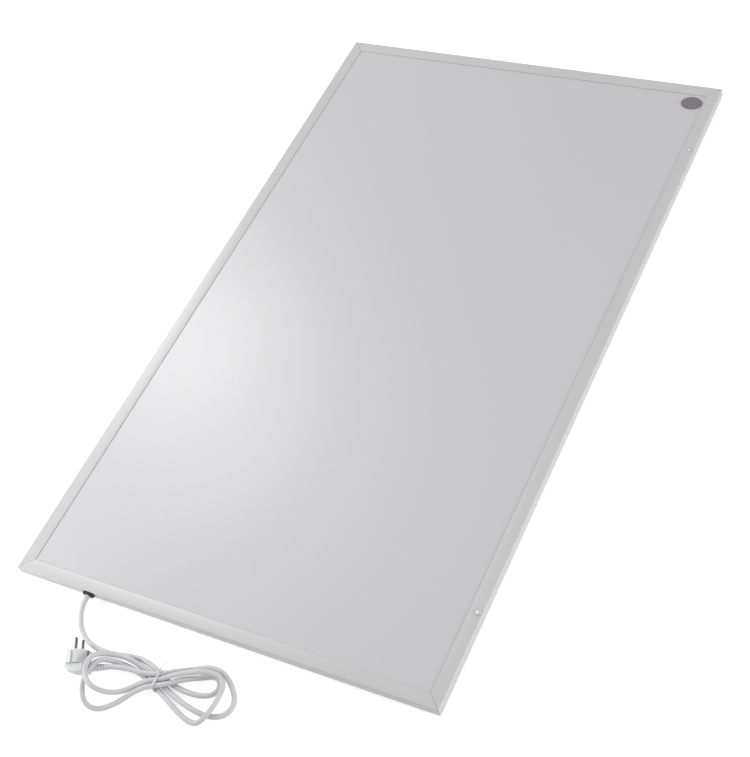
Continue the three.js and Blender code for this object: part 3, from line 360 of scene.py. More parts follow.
def powder_coated_aluminium(colour):
    """Polyester powder baked on an extruded profile: satin, with a faint orange peel."""
    made, tree, shader, where = surface(
        "powder_coated_aluminium", colour, **{"Roughness": 0.34, "IOR": 1.5})
    peel = node(tree, "ShaderNodeTexNoise", {"Scale": 1 / (2.2 * MM), "Detail": 2.0},
                {"Vector": where})
    cloud = node(tree, "ShaderNodeTexNoise", {"Scale": 1 / (140 * MM), "Detail": 1.0},
                 {"Vector": where})
    shade = node(tree, "ShaderNodeMix", {"data_type": "RGBA", 6: tint(colour, 0.975),
                                         7: tint(colour, 1.02)}, {0: cloud.outputs["Fac"]})
    bump = node(tree, "ShaderNodeBump", {"Strength": 0.12, "Distance": 0.05 * MM},
                {"Height": peel.outputs["Fac"]})
    return feed(made, shader, {"Base Color": shade.outputs[2], "Normal": bump.outputs["Normal"]})


def textured_powder_coat_on_steel(colour):
    """Fine-structure powder on a steel sheet: it scatters light into one broad, soft sheen."""
    made, tree, shader, where = surface(
        "textured_powder_coat_on_steel", colour, **{"Roughness": 0.34, "IOR": 1.5})
    # The real grain is about 0.5 mm; it is drawn at 1.6 mm, the least that shows in a whole view.
    grain = node(tree, "ShaderNodeTexNoise",
                 {"Scale": 1 / (1.6 * MM), "Detail": 3.0, "Roughness": 0.6}, {"Vector": where})
    fleck = node(tree, "ShaderNodeTexNoise", {"Scale": 1 / (2.6 * MM), "Detail": 1.0},
                 {"Vector": where})
    drift = node(tree, "ShaderNodeTexNoise", {"Scale": 1 / (260 * MM), "Detail": 1.0},
                 {"Vector": where})
    speck = node(tree, "ShaderNodeMix", {"data_type": "RGBA", 6: tint(colour, 0.955),
                                         7: tint(colour, 1.045)}, {0: fleck.outputs["Fac"]})
    shade = node(tree, "ShaderNodeMix", {"data_type": "RGBA", 0: 0.35, 7: tint(colour, 1.0)},
                 {6: speck.outputs[2]})
    gloss = node(tree, "ShaderNodeMapRange", {"To Min": 0.31, "To Max": 0.38},
                 {"Value": drift.outputs["Fac"]})
    bump = node(tree, "ShaderNodeBump", {"Strength": 0.35, "Distance": 0.06 * MM},
                {"Height": grain.outputs["Fac"]})
    return feed(made, shader, {
        "Base Color": shade.outputs[2],
        "Roughness": gloss.outputs["Result"],
        "Normal": bump.outputs["Normal"],
    })


def coated_steel_sheet(colour):
    """Coil-coated rear sheet: smooth and dull, with shallow waves from rolling."""
    made, tree, shader, where = surface(
        "coil_coated_steel", colour, **{"Roughness": 0.5, "IOR": 1.5})
    waves = node(tree, "ShaderNodeTexNoise", {"Scale": 1 / (90 * MM), "Detail": 1.0},
                 {"Vector": where})
    bump = node(tree, "ShaderNodeBump", {"Strength": 0.25, "Distance": 0.5 * MM},
                {"Height": waves.outputs["Fac"]})
    gloss = node(tree, "ShaderNodeMapRange", {"To Min": 0.42, "To Max": 0.58},
                 {"Value": waves.outputs["Fac"]})
    return feed(made, shader, {
        "Roughness": gloss.outputs["Result"],
        "Normal": bump.outputs["Normal"],
    })


def metal(name, code, roughness, streak, spread):
    """A plated or rolled metal whose gloss varies in streaks of a given length and width."""
    colour = linear(code)
    made, tree, shader, where = surface(
        name, colour, **{"Metallic": 1.0, "Roughness": roughness})
    length, width = (size * MM for size in streak)
    stretch = node(tree, "ShaderNodeMapping", {"Scale": (1 / length, 1 / width, 1 / width)},
                   {"Vector": where})
    marks = node(tree, "ShaderNodeTexNoise", {"Scale": 1.0, "Detail": 3.0},
                 {"Vector": stretch.outputs["Vector"]})
    gloss = node(tree, "ShaderNodeMapRange",
                 {"To Min": roughness - spread, "To Max": roughness + spread},
                 {"Value": marks.outputs["Fac"]})
    bump = node(tree, "ShaderNodeBump", {"Strength": 0.1, "Distance": 0.02 * MM},
                {"Height": marks.outputs["Fac"]})
    return feed(made, shader, {
        "Roughness": gloss.outputs["Result"],
        "Normal": bump.outputs["Normal"],
    })


def plastic(name, colour, roughness, grain, depth, mottle):
    """A moulded or extruded plastic: grain is the size of its skin's texture, depth its relief."""
    made, tree, shader, where = surface(name, colour, **{"Roughness": roughness, "IOR": 1.5})
    skin = node(tree, "ShaderNodeTexNoise", {"Scale": 1 / (grain * MM), "Detail": 2.0},
                {"Vector": where})
    patch = node(tree, "ShaderNodeTexNoise", {"Scale": 1 / (12 * grain * MM), "Detail": 2.0},
                 {"Vector": where})
    shade = node(tree, "ShaderNodeMix", {"data_type": "RGBA", 6: tint(colour, 1 - mottle),
                                         7: tint(colour, 1 + mottle)}, {0: patch.outputs["Fac"]})
    gloss = node(tree, "ShaderNodeMapRange",
                 {"To Min": roughness - 0.06, "To Max": roughness + 0.06},
                 {"Value": patch.outputs["Fac"]})
    bump = node(tree, "ShaderNodeBump", {"Strength": 0.2, "Distance": depth * MM},
                {"Height": skin.outputs["Fac"]})
    return feed(made, shader, {
        "Base Color": shade.outputs[2],
        "Roughness": gloss.outputs["Result"],
        "Normal": bump.outputs["Normal"],
    })


def pressed_mineral_wool():
    """Pressed stone wool: yellowish, matt, with fibres a few centimetres long."""
    colour = linear("#C9BD93")
    made, tree, shader, where = surface("pressed_mineral_wool", colour, **{"Roughness": 0.95})
    fibre = (18 * MM, 1.5 * MM, 2 * MM)
    stretch = node(tree, "ShaderNodeMapping", {"Scale": tuple(1 / size for size in fibre)},
                   {"Vector": where})
    fibres = node(tree, "ShaderNodeTexNoise", {"Scale": 1.0, "Detail": 5.0},
                  {"Vector": stretch.outputs["Vector"]})
    shade = node(tree, "ShaderNodeMix", {"data_type": "RGBA", 6: tint(colour, 0.7),
                                         7: tint(colour, 1.15)}, {0: fibres.outputs["Fac"]})
    bump = node(tree, "ShaderNodeBump", {"Strength": 0.6, "Distance": 0.4 * MM},
                {"Height": fibres.outputs["Fac"]})
    return feed(made, shader, {"Base Color": shade.outputs[2], "Normal": bump.outputs["Normal"]})


COATINGS = {
    "frame": powder_coated_aluminium,
    "plate": textured_powder_coat_on_steel,
    "cover": coated_steel_sheet,
}

# Each metal: its name, colour, roughness, length and width of its streaks in mm, and their spread.
METALS = {
    # Zinc plate on bent strip: bluish grey and half bright, with marks from rolling.
    "zinc": ("zinc_plated_steel", "#B9BDC1", 0.36, (9, 1.2), 0.08),
    # Blasted zinc on a small head: pale and satin, so that it hardly shows on the frame.
    "screw": ("bright_zinc_screw", "#D6D7D9", 0.55, (2, 1), 0.05),
    # Nickel on drawn brass: mirror-like, with fine lines; its colour is a painted dark reflection,
    # darker than the plating, so that the pins show dark beside the white plug.
    "nickel": ("nickel_plated_brass", "#7C7C7E", 0.26, (6, 0.6), 0.06),
    # Stamped sheet brass: warm yellow, with short scratches from the die.
    "brass": ("stamped_brass", "#C9A24E", 0.32, (3, 0.8), 0.06),
    # Rolled foil: almost a mirror, with long streaks along the roll.
    "foil": ("rolled_aluminium_foil", "#D2D5D8", 0.22, (30, 2), 0.07),
}

# Each plastic: its name, its colour or the property that holds it, roughness, the grain and depth of
# its skin in mm, and the share by which its tone drifts.
PLASTICS = {
    # Extruded PVC: a soft gloss that runs along the cord, and a skin that is almost smooth.
    "cord": ("extruded_pvc_sheath", "cord", 0.38, 1.1, 0.03, 0.03),
    # Moulded PVC: a little duller than the cord, with the mould's fine erosion.
    "plug": ("moulded_pvc", "plug", 0.42, 0.7, 0.04, 0.03),
    # Moulded rubber: black and dull, greyer where the skin has bloomed.
    "grommet": ("black_epdm_rubber", "grommet", 0.62, 0.6, 0.05, 0.12),
    # Tinted ABS: a grey with a trace of violet, moulded smooth and slightly uneven in tone.
    "badge": ("tinted_abs", "badge", 0.34, 0.9, 0.04, 0.1),
    # Plastic drawn over wire: pale and satin, with a ripple from the wire.
    "tie": ("coated_tie_wire", "tie", 0.5, 0.8, 0.05, 0.03),
    # Carbon print between two films: near black, with the film's low sheen.
    "film": ("carbon_heating_film", "#2C2C30", 0.5, 1.5, 0.05, 0.03),
    # Moulded nylon: a creamy white with a dull, waxy skin.
    "nylon": ("moulded_nylon", "#DCDCD6", 0.46, 0.8, 0.04, 0.03),
    # Single cores in thin PVC: strong flat colours with a soft gloss.
    "live": ("brown_pvc_core", "#6B4326", 0.45, 0.8, 0.03, 0.03),
    "neutral": ("blue_pvc_core", "#2F62B5", 0.45, 0.8, 0.03, 0.03),
    "earth": ("green_yellow_pvc_core", "#9BBF3A", 0.45, 0.8, 0.03, 0.03),
}
FINISHES = {}


def finish(name):
    """A material by its name; each is made once."""
    if name not in FINISHES:
        colours = bpy.context.scene.heater_colours
        if name == "wool":
            FINISHES[name] = pressed_mineral_wool()
        elif name in COATINGS:
            FINISHES[name] = COATINGS[name](tuple(getattr(colours, name)))
        elif name in METALS:
            FINISHES[name] = metal(*METALS[name])
        else:
            label, colour, *look = PLASTICS[name]
            rgb = linear(colour) if colour[0] == "#" else tuple(getattr(colours, colour))
            FINISHES[name] = plastic(label, rgb, *look)
    return FINISHES[name]


# ---- cord route, as in the source

ENTRY = Vector((-187, -500, 0)) * MM
CORD_HEIGHT = 13.65
STRAND_SLANT = math.radians(22)
STRAND_PITCH = 7.3
TIE_OFFSET = Vector((147, -71, 0))
FLOOR_LEVEL = 3.35
LOW_LAYER = 4.65
HIGH_LAYER = 11.65
LOOP_STEPS = 24
END_RUN = 7
LOOPS = [
    dict(reach=76, turn=17, lean=10, grip=(42, 33), pull=(23, 24), leaves=(1, 0), comes=(-1, 1),
         rise=[(0, LOW_LAYER), (.12, LOW_LAYER), (.3, FLOOR_LEVEL), (.7, FLOOR_LEVEL),
               (.86, HIGH_LAYER), (1, HIGH_LAYER)]),
    dict(reach=90, turn=209, lean=-8, grip=(30, 89), pull=(44, 29), leaves=(-1, 1), comes=(-1, 0),
         rise=[(0, HIGH_LAYER), (.08, HIGH_LAYER), (.24, FLOOR_LEVEL), (.31, FLOOR_LEVEL),
               (.56, 24.6), (.71, 24.6), (.89, LOW_LAYER), (1, LOW_LAYER)]),
    dict(reach=83, turn=-3, lean=-2, grip=(52, 32), pull=(46, 66), leaves=(-1, 0), comes=(0, 1),
         rise=[(0, LOW_LAYER), (.08, LOW_LAYER), (.22, FLOOR_LEVEL), (.29, FLOOR_LEVEL),
               (.45, 10.8), (.6, 10.8), (.84, 17), (.9, 17), (1, HIGH_LAYER)]),
    dict(reach=82, turn=204, lean=29, grip=(35, 95), pull=(36, 28), leaves=(0, 1), comes=(0, 0),
         rise=[(0, HIGH_LAYER), (.08, HIGH_LAYER), (.2, 9.6), (.47, 31.6),
               (.66, 31.6), (.86, 12), (.95, LOW_LAYER), (1, LOW_LAYER)]),
    dict(reach=97, turn=10, lean=31, grip=(110, 30), pull=(23, 62), leaves=(0, 0), comes=(1, 1),
         rise=[(0, LOW_LAYER), (.08, LOW_LAYER), (.22, FLOOR_LEVEL), (.78, FLOOR_LEVEL),
               (.95, HIGH_LAYER), (1, HIGH_LAYER)]),
]
LEAD = [
    (0, -3.3, 13.65), (0, -8, 13.65), (0, -14, 12.6), (.4, -22, 9), (2.5, -30, 5), (7, -38, 3.6),
    (14.5, -45.3, 3.35), (23, -51, 3.35), (33, -55.3, 3.35), (44, -57.8, 3.35), (56, -58.6, 3.35),
    (69, -57.7, 3.35), (82, -55.6, 3.35), (95, -53.2, 3.35), (108, -52.2, 3.5), (121, -53.9, 4.2),
    (131, -57, 4.6),
]
TAIL = [(130, -68.6, 11.9), (121, -70, 12.9), (111, -71.2, 14.1), (101, -72.6, 15.3)]


def heading(angle):
    return Vector((math.cos(angle), math.sin(angle), 0))


def crossing(column, layer):
    """Where a strand crosses the tie, from the cord's entry, in millimetres."""
    y = TIE_OFFSET.y + column * STRAND_PITCH / math.cos(STRAND_SLANT)
    return Vector((TIE_OFFSET.x, y, HIGH_LAYER if layer else LOW_LAYER))


def bezier(a, b, c, d, t):
    s = 1 - t
    return a * s ** 3 + b * (3 * s * s * t) + c * (3 * s * t * t) + d * t ** 3


def height_at(rise, t):
    height = rise[0][1]
    for (low_t, low), (high_t, high) in zip(rise, rise[1:]):
        if t >= low_t:
            share = min(1.0, (t - low_t) / (high_t - low_t))
            height = low + (high - low) * share * share * (3 - 2 * share)
    return height


def loop_points(loop):
    """One loop, from the tie round its far point and back to the tie."""
    right = math.cos(math.radians(loop["turn"])) > 0
    leave = heading(-STRAND_SLANT if right else math.pi + STRAND_SLANT)
    arrive = heading(math.pi + STRAND_SLANT if right else -STRAND_SLANT)
    first, last = crossing(*loop["leaves"]), crossing(*loop["comes"])
    far = TIE_OFFSET + heading(math.radians(loop["turn"])) * loop["reach"]
    sweep = heading(math.radians(loop["turn"] + (90 if right else -90) + loop["lean"]))
    grip, pull = loop["grip"], loop["pull"]
    out = (first, first + leave * grip[0], far - sweep * pull[0], far)
    back = (far, far + sweep * pull[1], last - arrive * grip[1], last)
    half = LOOP_STEPS // 2
    points = []
    for i in range(LOOP_STEPS):
        point = bezier(*out, i / half) if i <= half else bezier(*back, (i - half) / half)
        point.z = height_at(loop["rise"], i / LOOP_STEPS)
        points.append(point)
    return points


def smooth_line(points, step):
    """Evenly spaced points on a centripetal spline through the given ones."""
    ends = [points[0] * 2 - points[1], *points, points[-1] * 2 - points[-2]]
    dense = []
    for a, b, c, d in zip(ends, ends[1:], ends[2:], ends[3:]):
        ta, tb, tc = ((q - p).length ** 0.5 for p, q in ((a, b), (b, c), (c, d)))
        leave = ((b - a) / ta - (c - a) / (ta + tb) + (c - b) / tb) * tb
        arrive = ((c - b) / tb - (d - b) / (tb + tc) + (d - c) / tc) * tb
        dense += [bezier(b, b + leave / 3, c - arrive / 3, c, i / 16) for i in range(16)]
    dense.append(points[-1].copy())
    spaced, gone = [dense[0]], 0.0
    for before, after in zip(dense, dense[1:]):
        gone += (after - before).length
        if gone >= step:
            spaced.append(after)
            gone = 0.0
    spaced[-1] = dense[-1]
    return spaced


def relax(line, rounds):
    """Evens out the bends of a line and keeps its ends."""
    for _ in range(rounds):
        inner = [(a + b * 2 + c) / 4 for a, b, c in zip(line, line[1:], line[2:])]
        line = [line[0], *inner, line[-1]]
    return line


# ---- plug frame, as in the source

PINS_AXIS = Vector((-0.36, 0.896, 0.256)).normalized()
CORD_AXIS = Vector((0.93, 0.33, 0.07))
CORD_AXIS = (CORD_AXIS - PINS_AXIS * CORD_AXIS.dot(PINS_AXIS)).normalized()
SIDE_AXIS = PINS_AXIS.cross(CORD_AXIS)
PLUG_FACE = ENTRY + Vector((35.5, -73.5, 19.18)) * MM
PLUG_TURN = Matrix((
    (CORD_AXIS.x, SIDE_AXIS.x, PINS_AXIS.x, PLUG_FACE.x),
    (CORD_AXIS.y, SIDE_AXIS.y, PINS_AXIS.y, PLUG_FACE.y),
    (CORD_AXIS.z, SIDE_AXIS.z, PINS_AXIS.z, PLUG_FACE.z),
    (0, 0, 0, 1),
))
PLUG_FLATS = 25.5 * MM
PLUG_BODY_DEPTH = 16 * MM
COVER_DEPTH = 10.5 * MM
COVER_HEIGHT = 23 * MM
COVER_CHAMFER = 6.5 * MM
PIN_LENGTH = 15.5 * MM
PIN_PLACE = 8 * MM
SLEEVE_LENGTH = 27 * MM
SLEEVE_START = PLUG_FLATS / 2 + 0.3 * MM
COVER_FRONT = -PLUG_BODY_DEPTH - 0.3 * MM
COVER_BACK = COVER_FRONT - COVER_DEPTH
SLEEVE_Z = (COVER_FRONT + COVER_BACK) / 2


def cord_line():
    """The whole cord's centreline from the bushing to the plug's sleeve, in metres."""
    lead = [Vector(p) for p in LEAD]
    hank_start = crossing(1, 0) - heading(-STRAND_SLANT) * END_RUN
    hank_end = crossing(1, 1) + heading(math.pi + STRAND_SLANT) * END_RUN
    points = [*lead, hank_start]
    for loop in LOOPS:
        points += loop_points(loop)
    points += [crossing(1, 1), hank_end, *(Vector(p) for p in TAIL)]
    reach = SLEEVE_START + SLEEVE_LENGTH
    ends = [PLUG_TURN @ Vector((reach + along, 0, SLEEVE_Z)) for along in (4 * MM, 0)]
    points += [(end - ENTRY) / MM for end in ends]
    line = relax(smooth_line(points, 1.4), 6)
    return [ENTRY + point * MM for point in line]


def curve_piece(name, line, radius, resolution=5):
    """A round cord along a line, as a curve of one open spline."""
    curve = bpy.data.curves.new(name, "CURVE")
    curve.dimensions = "3D"
    curve.bevel_depth = radius
    curve.bevel_resolution = resolution
    curve.use_fill_caps = True
    spline = curve.splines.new("POLY")
    spline.points.add(len(line) - 1)
    for point, place_at in zip(spline.points, line):
        point.co = (*place_at, 1)
    piece = bpy.data.objects.new(name, curve)
    bpy.context.scene.collection.objects.link(piece)
    return piece


# ---- operators: stage

class HEATER_OT_stage(bpy.types.Operator):
    """Makes the camera, the floor and the lights"""

    bl_idname = "heater.stage"
    bl_label = "Stage"

    def execute(self, context):
        studio = context.scene.heater_studio
        self.camera(context)
        self.floor(tuple(studio.floor))
        self.world(context, studio.sky)
        self.lamp("key_light", (-1.48, 0.8, 1.59), (-0.26, -0.13, 0), (0.5, 0.6), studio.key)
        self.lamp("side_light", (1.7, -0.15, 0.4), (0.3, -0.2, 0), (0.8, 0.6), studio.side)
        self.lamp("low_light", (-0.62, -0.76, 0.36), (-0.28, -0.48, 0), (0.25, 0.2), studio.low)
        return {"FINISHED"}

    def camera(self, context):
        """The camera that four outer edges of the frame in the photograph give."""
        focal_pixels = 1474.653
        axis_pixel = (402.862, 368.877)
        width, height = PHOTO_SIZE
        data = bpy.data.cameras.new("photo_camera")
        data.sensor_fit = "HORIZONTAL"
        data.sensor_width = 36
        data.lens = focal_pixels * data.sensor_width / width
        data.shift_x = -(axis_pixel[0] - width / 2) / width
        data.shift_y = (axis_pixel[1] - height / 2) / width
        data.clip_start, data.clip_end = 0.05, 60
        camera = bpy.data.objects.new("photo_camera", data)
        right = Vector((0.88028, 0.41465, -0.23061))
        up = Vector((-0.20655, 0.77247, 0.60052))
        back = Vector((0.42714, -0.48099, 0.76564))
        place_at = Vector((877.2, -1002.2, 1488.8)) * MM
        camera.matrix_world = Matrix((
            (right.x, up.x, back.x, place_at.x),
            (right.y, up.y, back.y, place_at.y),
            (right.z, up.z, back.z, place_at.z),
            (0, 0, 0, 1),
        ))
        context.scene.collection.objects.link(camera)
        context.scene.camera = camera

    def floor(self, colour):
        """A pale floor that keeps the object's shadow and otherwise shows white."""
        floor = start("floor", bpy.ops.mesh.primitive_plane_add, size=24)
        made, tree, shader, _ = surface("matt_paper_floor", colour, **{
            "Roughness": 0.9, "Specular IOR Level": 0.2, "Emission Color": (1, 1, 1, 1)})
        path = node(tree, "ShaderNodeLightPath", {})
        seen = node(tree, "ShaderNodeMath", {"operation": "MAXIMUM"},
                    {0: path.outputs["Is Camera Ray"], 1: path.outputs["Is Glossy Ray"]})
        # The share of the floor's white that shadows can't take from the camera's view.
        kept_white = 0.64
        glow = node(tree, "ShaderNodeMath", {"operation": "MULTIPLY", 1: kept_white},
                    {0: seen.outputs["Value"]})
        tree.links.new(glow.outputs["Value"], shader.inputs["Emission Strength"])
        floor.data.materials.append(made)

    def world(self, context, sky):
        world = bpy.data.worlds.new("even_sky")
        context.scene.world = world
        world.use_nodes = True
        tree = world.node_tree
        tree.nodes.clear()
        path = node(tree, "ShaderNodeLightPath", {})
        seen = node(tree, "ShaderNodeMath", {"operation": "MAXIMUM"},
                    {0: path.outputs["Is Camera Ray"], 1: path.outputs["Is Transmission Ray"]})
        strength = node(tree, "ShaderNodeMix", {"data_type": "FLOAT", 2: sky, 3: 1.0},
                        {0: seen.outputs["Value"]})
        light = node(tree, "ShaderNodeBackground", {"Color": (1, 1, 1, 1)},
                     {"Strength": strength.outputs[0]})
        node(tree, "ShaderNodeOutputWorld", {}, {"Surface": light.outputs["Background"]})

    def lamp(self, name, place_at, target, size, power):
        data = bpy.data.lights.new(name, "AREA")
        data.shape = "RECTANGLE"
        data.size, data.size_y = size
        data.energy = power
        lamp = bpy.data.objects.new(name, data)
        lamp.location = place_at
        way = Vector(target) - Vector(place_at)
        lamp.rotation_euler = way.to_track_quat("-Z", "Y").to_euler()
        bpy.context.scene.collection.objects.link(lamp)


# ---- operators: cord

class HEATER_OT_cord(bpy.types.Operator):
    """Makes the supply cord in one smooth run from the bushing to the plug's sleeve"""

    bl_idname = "heater.cord"
    bl_label = "Supply cord"

    def execute(self, context):
        radius = context.scene.heater_sizes.cord_diameter / 2
        cord = curve_piece("supply_cord", cord_line(), radius)
        dress(cord, finish("cord"), "cord_sheath", "cord_lead", "cord_hank", "cord_tail")
        inner = rod("inner_sheath", ENTRY + Vector((0, 13.5, CORD_HEIGHT)) * MM, radius, 33 * MM,
                    lying=True)
        soften(inner, 0.3 * MM)
        smooth(inner)
        dress(inner, finish("cord"), "cord_sheath", "inner_cord")
        return {"FINISHED"}


class HEATER_OT_tie(bpy.types.Operator):
    """Makes the coated wire tie round the waist of the bundle, with its two loose ends"""

    bl_idname = "heater.tie"
    bl_label = "Cord tie"

    def execute(self, context):
        radius = context.scene.heater_sizes.cord_diameter / 2 / MM
        side = (STRAND_PITCH + radius) / math.cos(STRAND_SLANT) + 0.7
        low, high = LOW_LAYER - radius - 0.3, HIGH_LAYER + radius + 0.3
        centre = ENTRY + (TIE_OFFSET + Vector((0, 0, (low + high) / 2))) * MM
        band = block("cord_tie_band", centre, Vector((3, 2 * side, high - low)) * MM)
        edit(band, "FACE", lambda centre, normal: abs(normal.x) > 0.9)
        bpy.ops.mesh.delete(type="ONLY_FACE")
        edit(band, "EDGE", lambda a, b: abs(a.x - b.x) > MM)
        bpy.ops.mesh.bevel(offset=radius * MM, segments=8, affect="EDGES")
        modify(band, "SOLIDIFY", thickness=0.6 * MM, offset=1)
        recalculate(band)
        soften(band, 0.15 * MM)
        top = ENTRY + (TIE_OFFSET + Vector((0, 0, high + 0.3))) * MM
        ends = [
            [(0, 2, 0), (0.4, 5, 0.9), (1, 7.5, 3), (2.2, 9.6, 5.6), (3.4, 11.2, 7.6),
             (4.8, 13.4, 9), (6.6, 16, 10), (9, 19, 11)],
            [(0.5, 1, 0.2), (2, 3.6, 1.6), (4.2, 5, 3.6), (6.2, 5.2, 4.6), (8.4, 4.2, 4),
             (10.4, 2.6, 2.2), (12, 1, 0.4)],
        ]
        strands = [band]
        for points in ends:
            line = smooth_line([Vector(p) for p in points], 0.6)
            wire = curve_piece("tie_end", [top + p * MM for p in line], 0.5 * MM, 3)
            pick(wire)
            bpy.ops.object.convert(target="MESH")
            strands.append(context.object)
        for strand in strands:
            strand.select_set(True)
        context.view_layer.objects.active = band
        bpy.ops.object.join()
        smooth(band, 50)
        dress(band, finish("tie"), "tie_nylon", "cord_tie")
        return {"FINISHED"}


class HEATER_OT_grommet(bpy.types.Operator):
    """Makes the oval rubber bushing that holds the cord in the frame's wall"""

    bl_idname = "heater.grommet"
    bl_label = "Cord bushing"

    def execute(self, context):
        low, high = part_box("cord_grommet")
        x, z = (low.x + high.x) / 2, (low.z + high.z) / 2
        wall = -PANEL_HALF_LENGTH
        bushing = oval("cord_bushing", high.x - low.x, high.z - low.z, low.y, wall - 0.3 * MM, x, z)
        edit(bushing, "FACE", lambda centre, normal: normal.y < -0.9)
        bpy.ops.mesh.bevel(offset=1.1 * MM, segments=4, affect="EDGES")
        neck = oval("bushing_neck", 12 * MM, 8.4 * MM, wall - 1 * MM, high.y, x, z)
        modify(bushing, "BOOLEAN", object=neck, operation="UNION", solver="EXACT")
        bpy.data.objects.remove(neck)
        radius = context.scene.heater_sizes.cord_diameter / 2 + 0.25 * MM
        carve(bushing, rod("bore", (x, wall, z), radius, 40 * MM, lying=True))
        smooth(bushing)
        dress(bushing, finish("grommet"), "grommet_rubber", "cord_grommet")
        return {"FINISHED"}


# ---- operators: plug

class HEATER_OT_plug(bpy.types.Operator):
    """Makes the round-bodied plug with its cover, sleeve, pins and earth strips"""

    bl_idname = "heater.plug"
    bl_label = "Plug"

    def execute(self, context):
        sizes = context.scene.heater_sizes
        self.body(sizes.plug_diameter / 2, sizes.pin_diameter / 2)
        self.cover()
        self.sleeve()
        self.pins(sizes.pin_diameter / 2)
        self.strips()
        return {"FINISHED"}

    def body(self, radius, pin_radius):
        body = rod("plug_body_round", (0, 0, -PLUG_BODY_DEPTH / 2), radius, PLUG_BODY_DEPTH, 96)
        for side in (-1, 1):
            cut_away(body, (side * PLUG_FLATS / 2, 0, 0), (side, 0, 0))
        edit(body, "FACE", lambda centre, normal: normal.z > 0.9)
        bpy.ops.mesh.inset(thickness=1.8 * MM, depth=0)
        bpy.ops.transform.translate(value=(0, 0, -0.5 * MM))
        for side in (-1, 1):
            groove = block("groove", (0, side * (radius + 1 * MM), -PLUG_BODY_DEPTH / 2),
                           (5 * MM, 6.8 * MM, 40 * MM))
            seat = block("seat", (side * (PLUG_FLATS / 2 + 1.8 * MM), 0, -6.15 * MM),
                         (6 * MM, 5.6 * MM, 14.3 * MM))
            hole = rod("pin_hole", (0, side * PIN_PLACE, 1.7 * MM), pin_radius + 0.3 * MM,
                       20 * MM, 32)
            carve(body, groove, seat, hole)
        soften(body, 0.5 * MM, 3)
        smooth(body)
        place(body, PLUG_TURN)
        dress(body, finish("plug"), "plug_plastic", "plug_body")

    def cover(self):
        half = PLUG_FLATS / 2
        cover = block("plug_cover_moulded", (0, 0, SLEEVE_Z),
                      (PLUG_FLATS, COVER_HEIGHT, COVER_DEPTH))
        edit(cover, "EDGE", at(x=-half, z=COVER_BACK))
        bpy.ops.mesh.bevel(offset=COVER_CHAMFER, segments=1, affect="EDGES")
        edit(cover, "EDGE", at(x=half, z=COVER_BACK))
        bpy.ops.mesh.bevel(offset=2 * MM, segments=3, affect="EDGES")
        edit(cover, "EDGE", lambda a, b: near(a.y, b.y) and abs(a.z - b.z) + abs(a.x - b.x) > MM
             and not at(z=COVER_FRONT)(a, b))
        bpy.ops.mesh.bevel(offset=1.6 * MM, segments=4, affect="EDGES")
        soften(cover, 0.5 * MM, 3)
        smooth(cover)
        place(cover, PLUG_TURN)
        dress(cover, finish("plug"), "plug_plastic", "plug_rear_cover")

    def sleeve(self):
        """A tapered sleeve with ring grooves round it."""
        root, tip, groove, ribs = 4.7 * MM, 3.7 * MM, 0.7 * MM, 6
        pitch = SLEEVE_LENGTH / (ribs + 1)
        profile = [(0.0, 0.0), (root, 0.0)]
        for i in range(1, ribs + 1):
            for share, depth in ((-0.25, 0), (-0.25, groove), (0.25, groove), (0.25, 0)):
                along = (i + share) * pitch
                profile.append((root + (tip - root) * along / SLEEVE_LENGTH - depth, along))
        profile += [(tip, SLEEVE_LENGTH), (0.0, SLEEVE_LENGTH)]
        sleeve = turned("plug_sleeve", profile, 40)
        soften(sleeve, 0.18 * MM)
        smooth(sleeve)
        turn = Matrix.Rotation(math.pi / 2, 4, "Y")
        place(sleeve, PLUG_TURN @ Matrix.Translation((SLEEVE_START, 0, SLEEVE_Z)) @ turn)
        dress(sleeve, finish("plug"), "plug_plastic", "plug_strain_relief")

    def pins(self, radius):
        length, root = PIN_LENGTH, 8 * MM
        profile = [(0.0, -root), (radius, -root), *dome(radius, length - radius, radius, 6)]
        pin = turned("pin_upper", profile, 40)
        smooth(pin)
        lower = copy_of(pin, "pin_lower")
        for piece, side, cad in ((pin, -1, "plug_pin_upper"), (lower, 1, "plug_pin_lower")):
            place(piece, PLUG_TURN @ Matrix.Translation((0, side * PIN_PLACE, 0)))
            dress(piece, finish("nickel"), "plug_nickel", cad)

    def strips(self):
        for side, cad in ((-1, "plug_earth_strip_left"), (1, "plug_earth_strip_right")):
            strip = block(cad.replace("plug_", ""),
                          (side * (PLUG_FLATS / 2 - 0.45 * MM), 0, -6.5 * MM),
                          (0.9 * MM, 5 * MM, 13 * MM))
            soften(strip, 0.2 * MM)
            smooth(strip)
            place(strip, PLUG_TURN)
            dress(strip, finish("nickel"), "plug_nickel", cad)


# ---- operators: panel

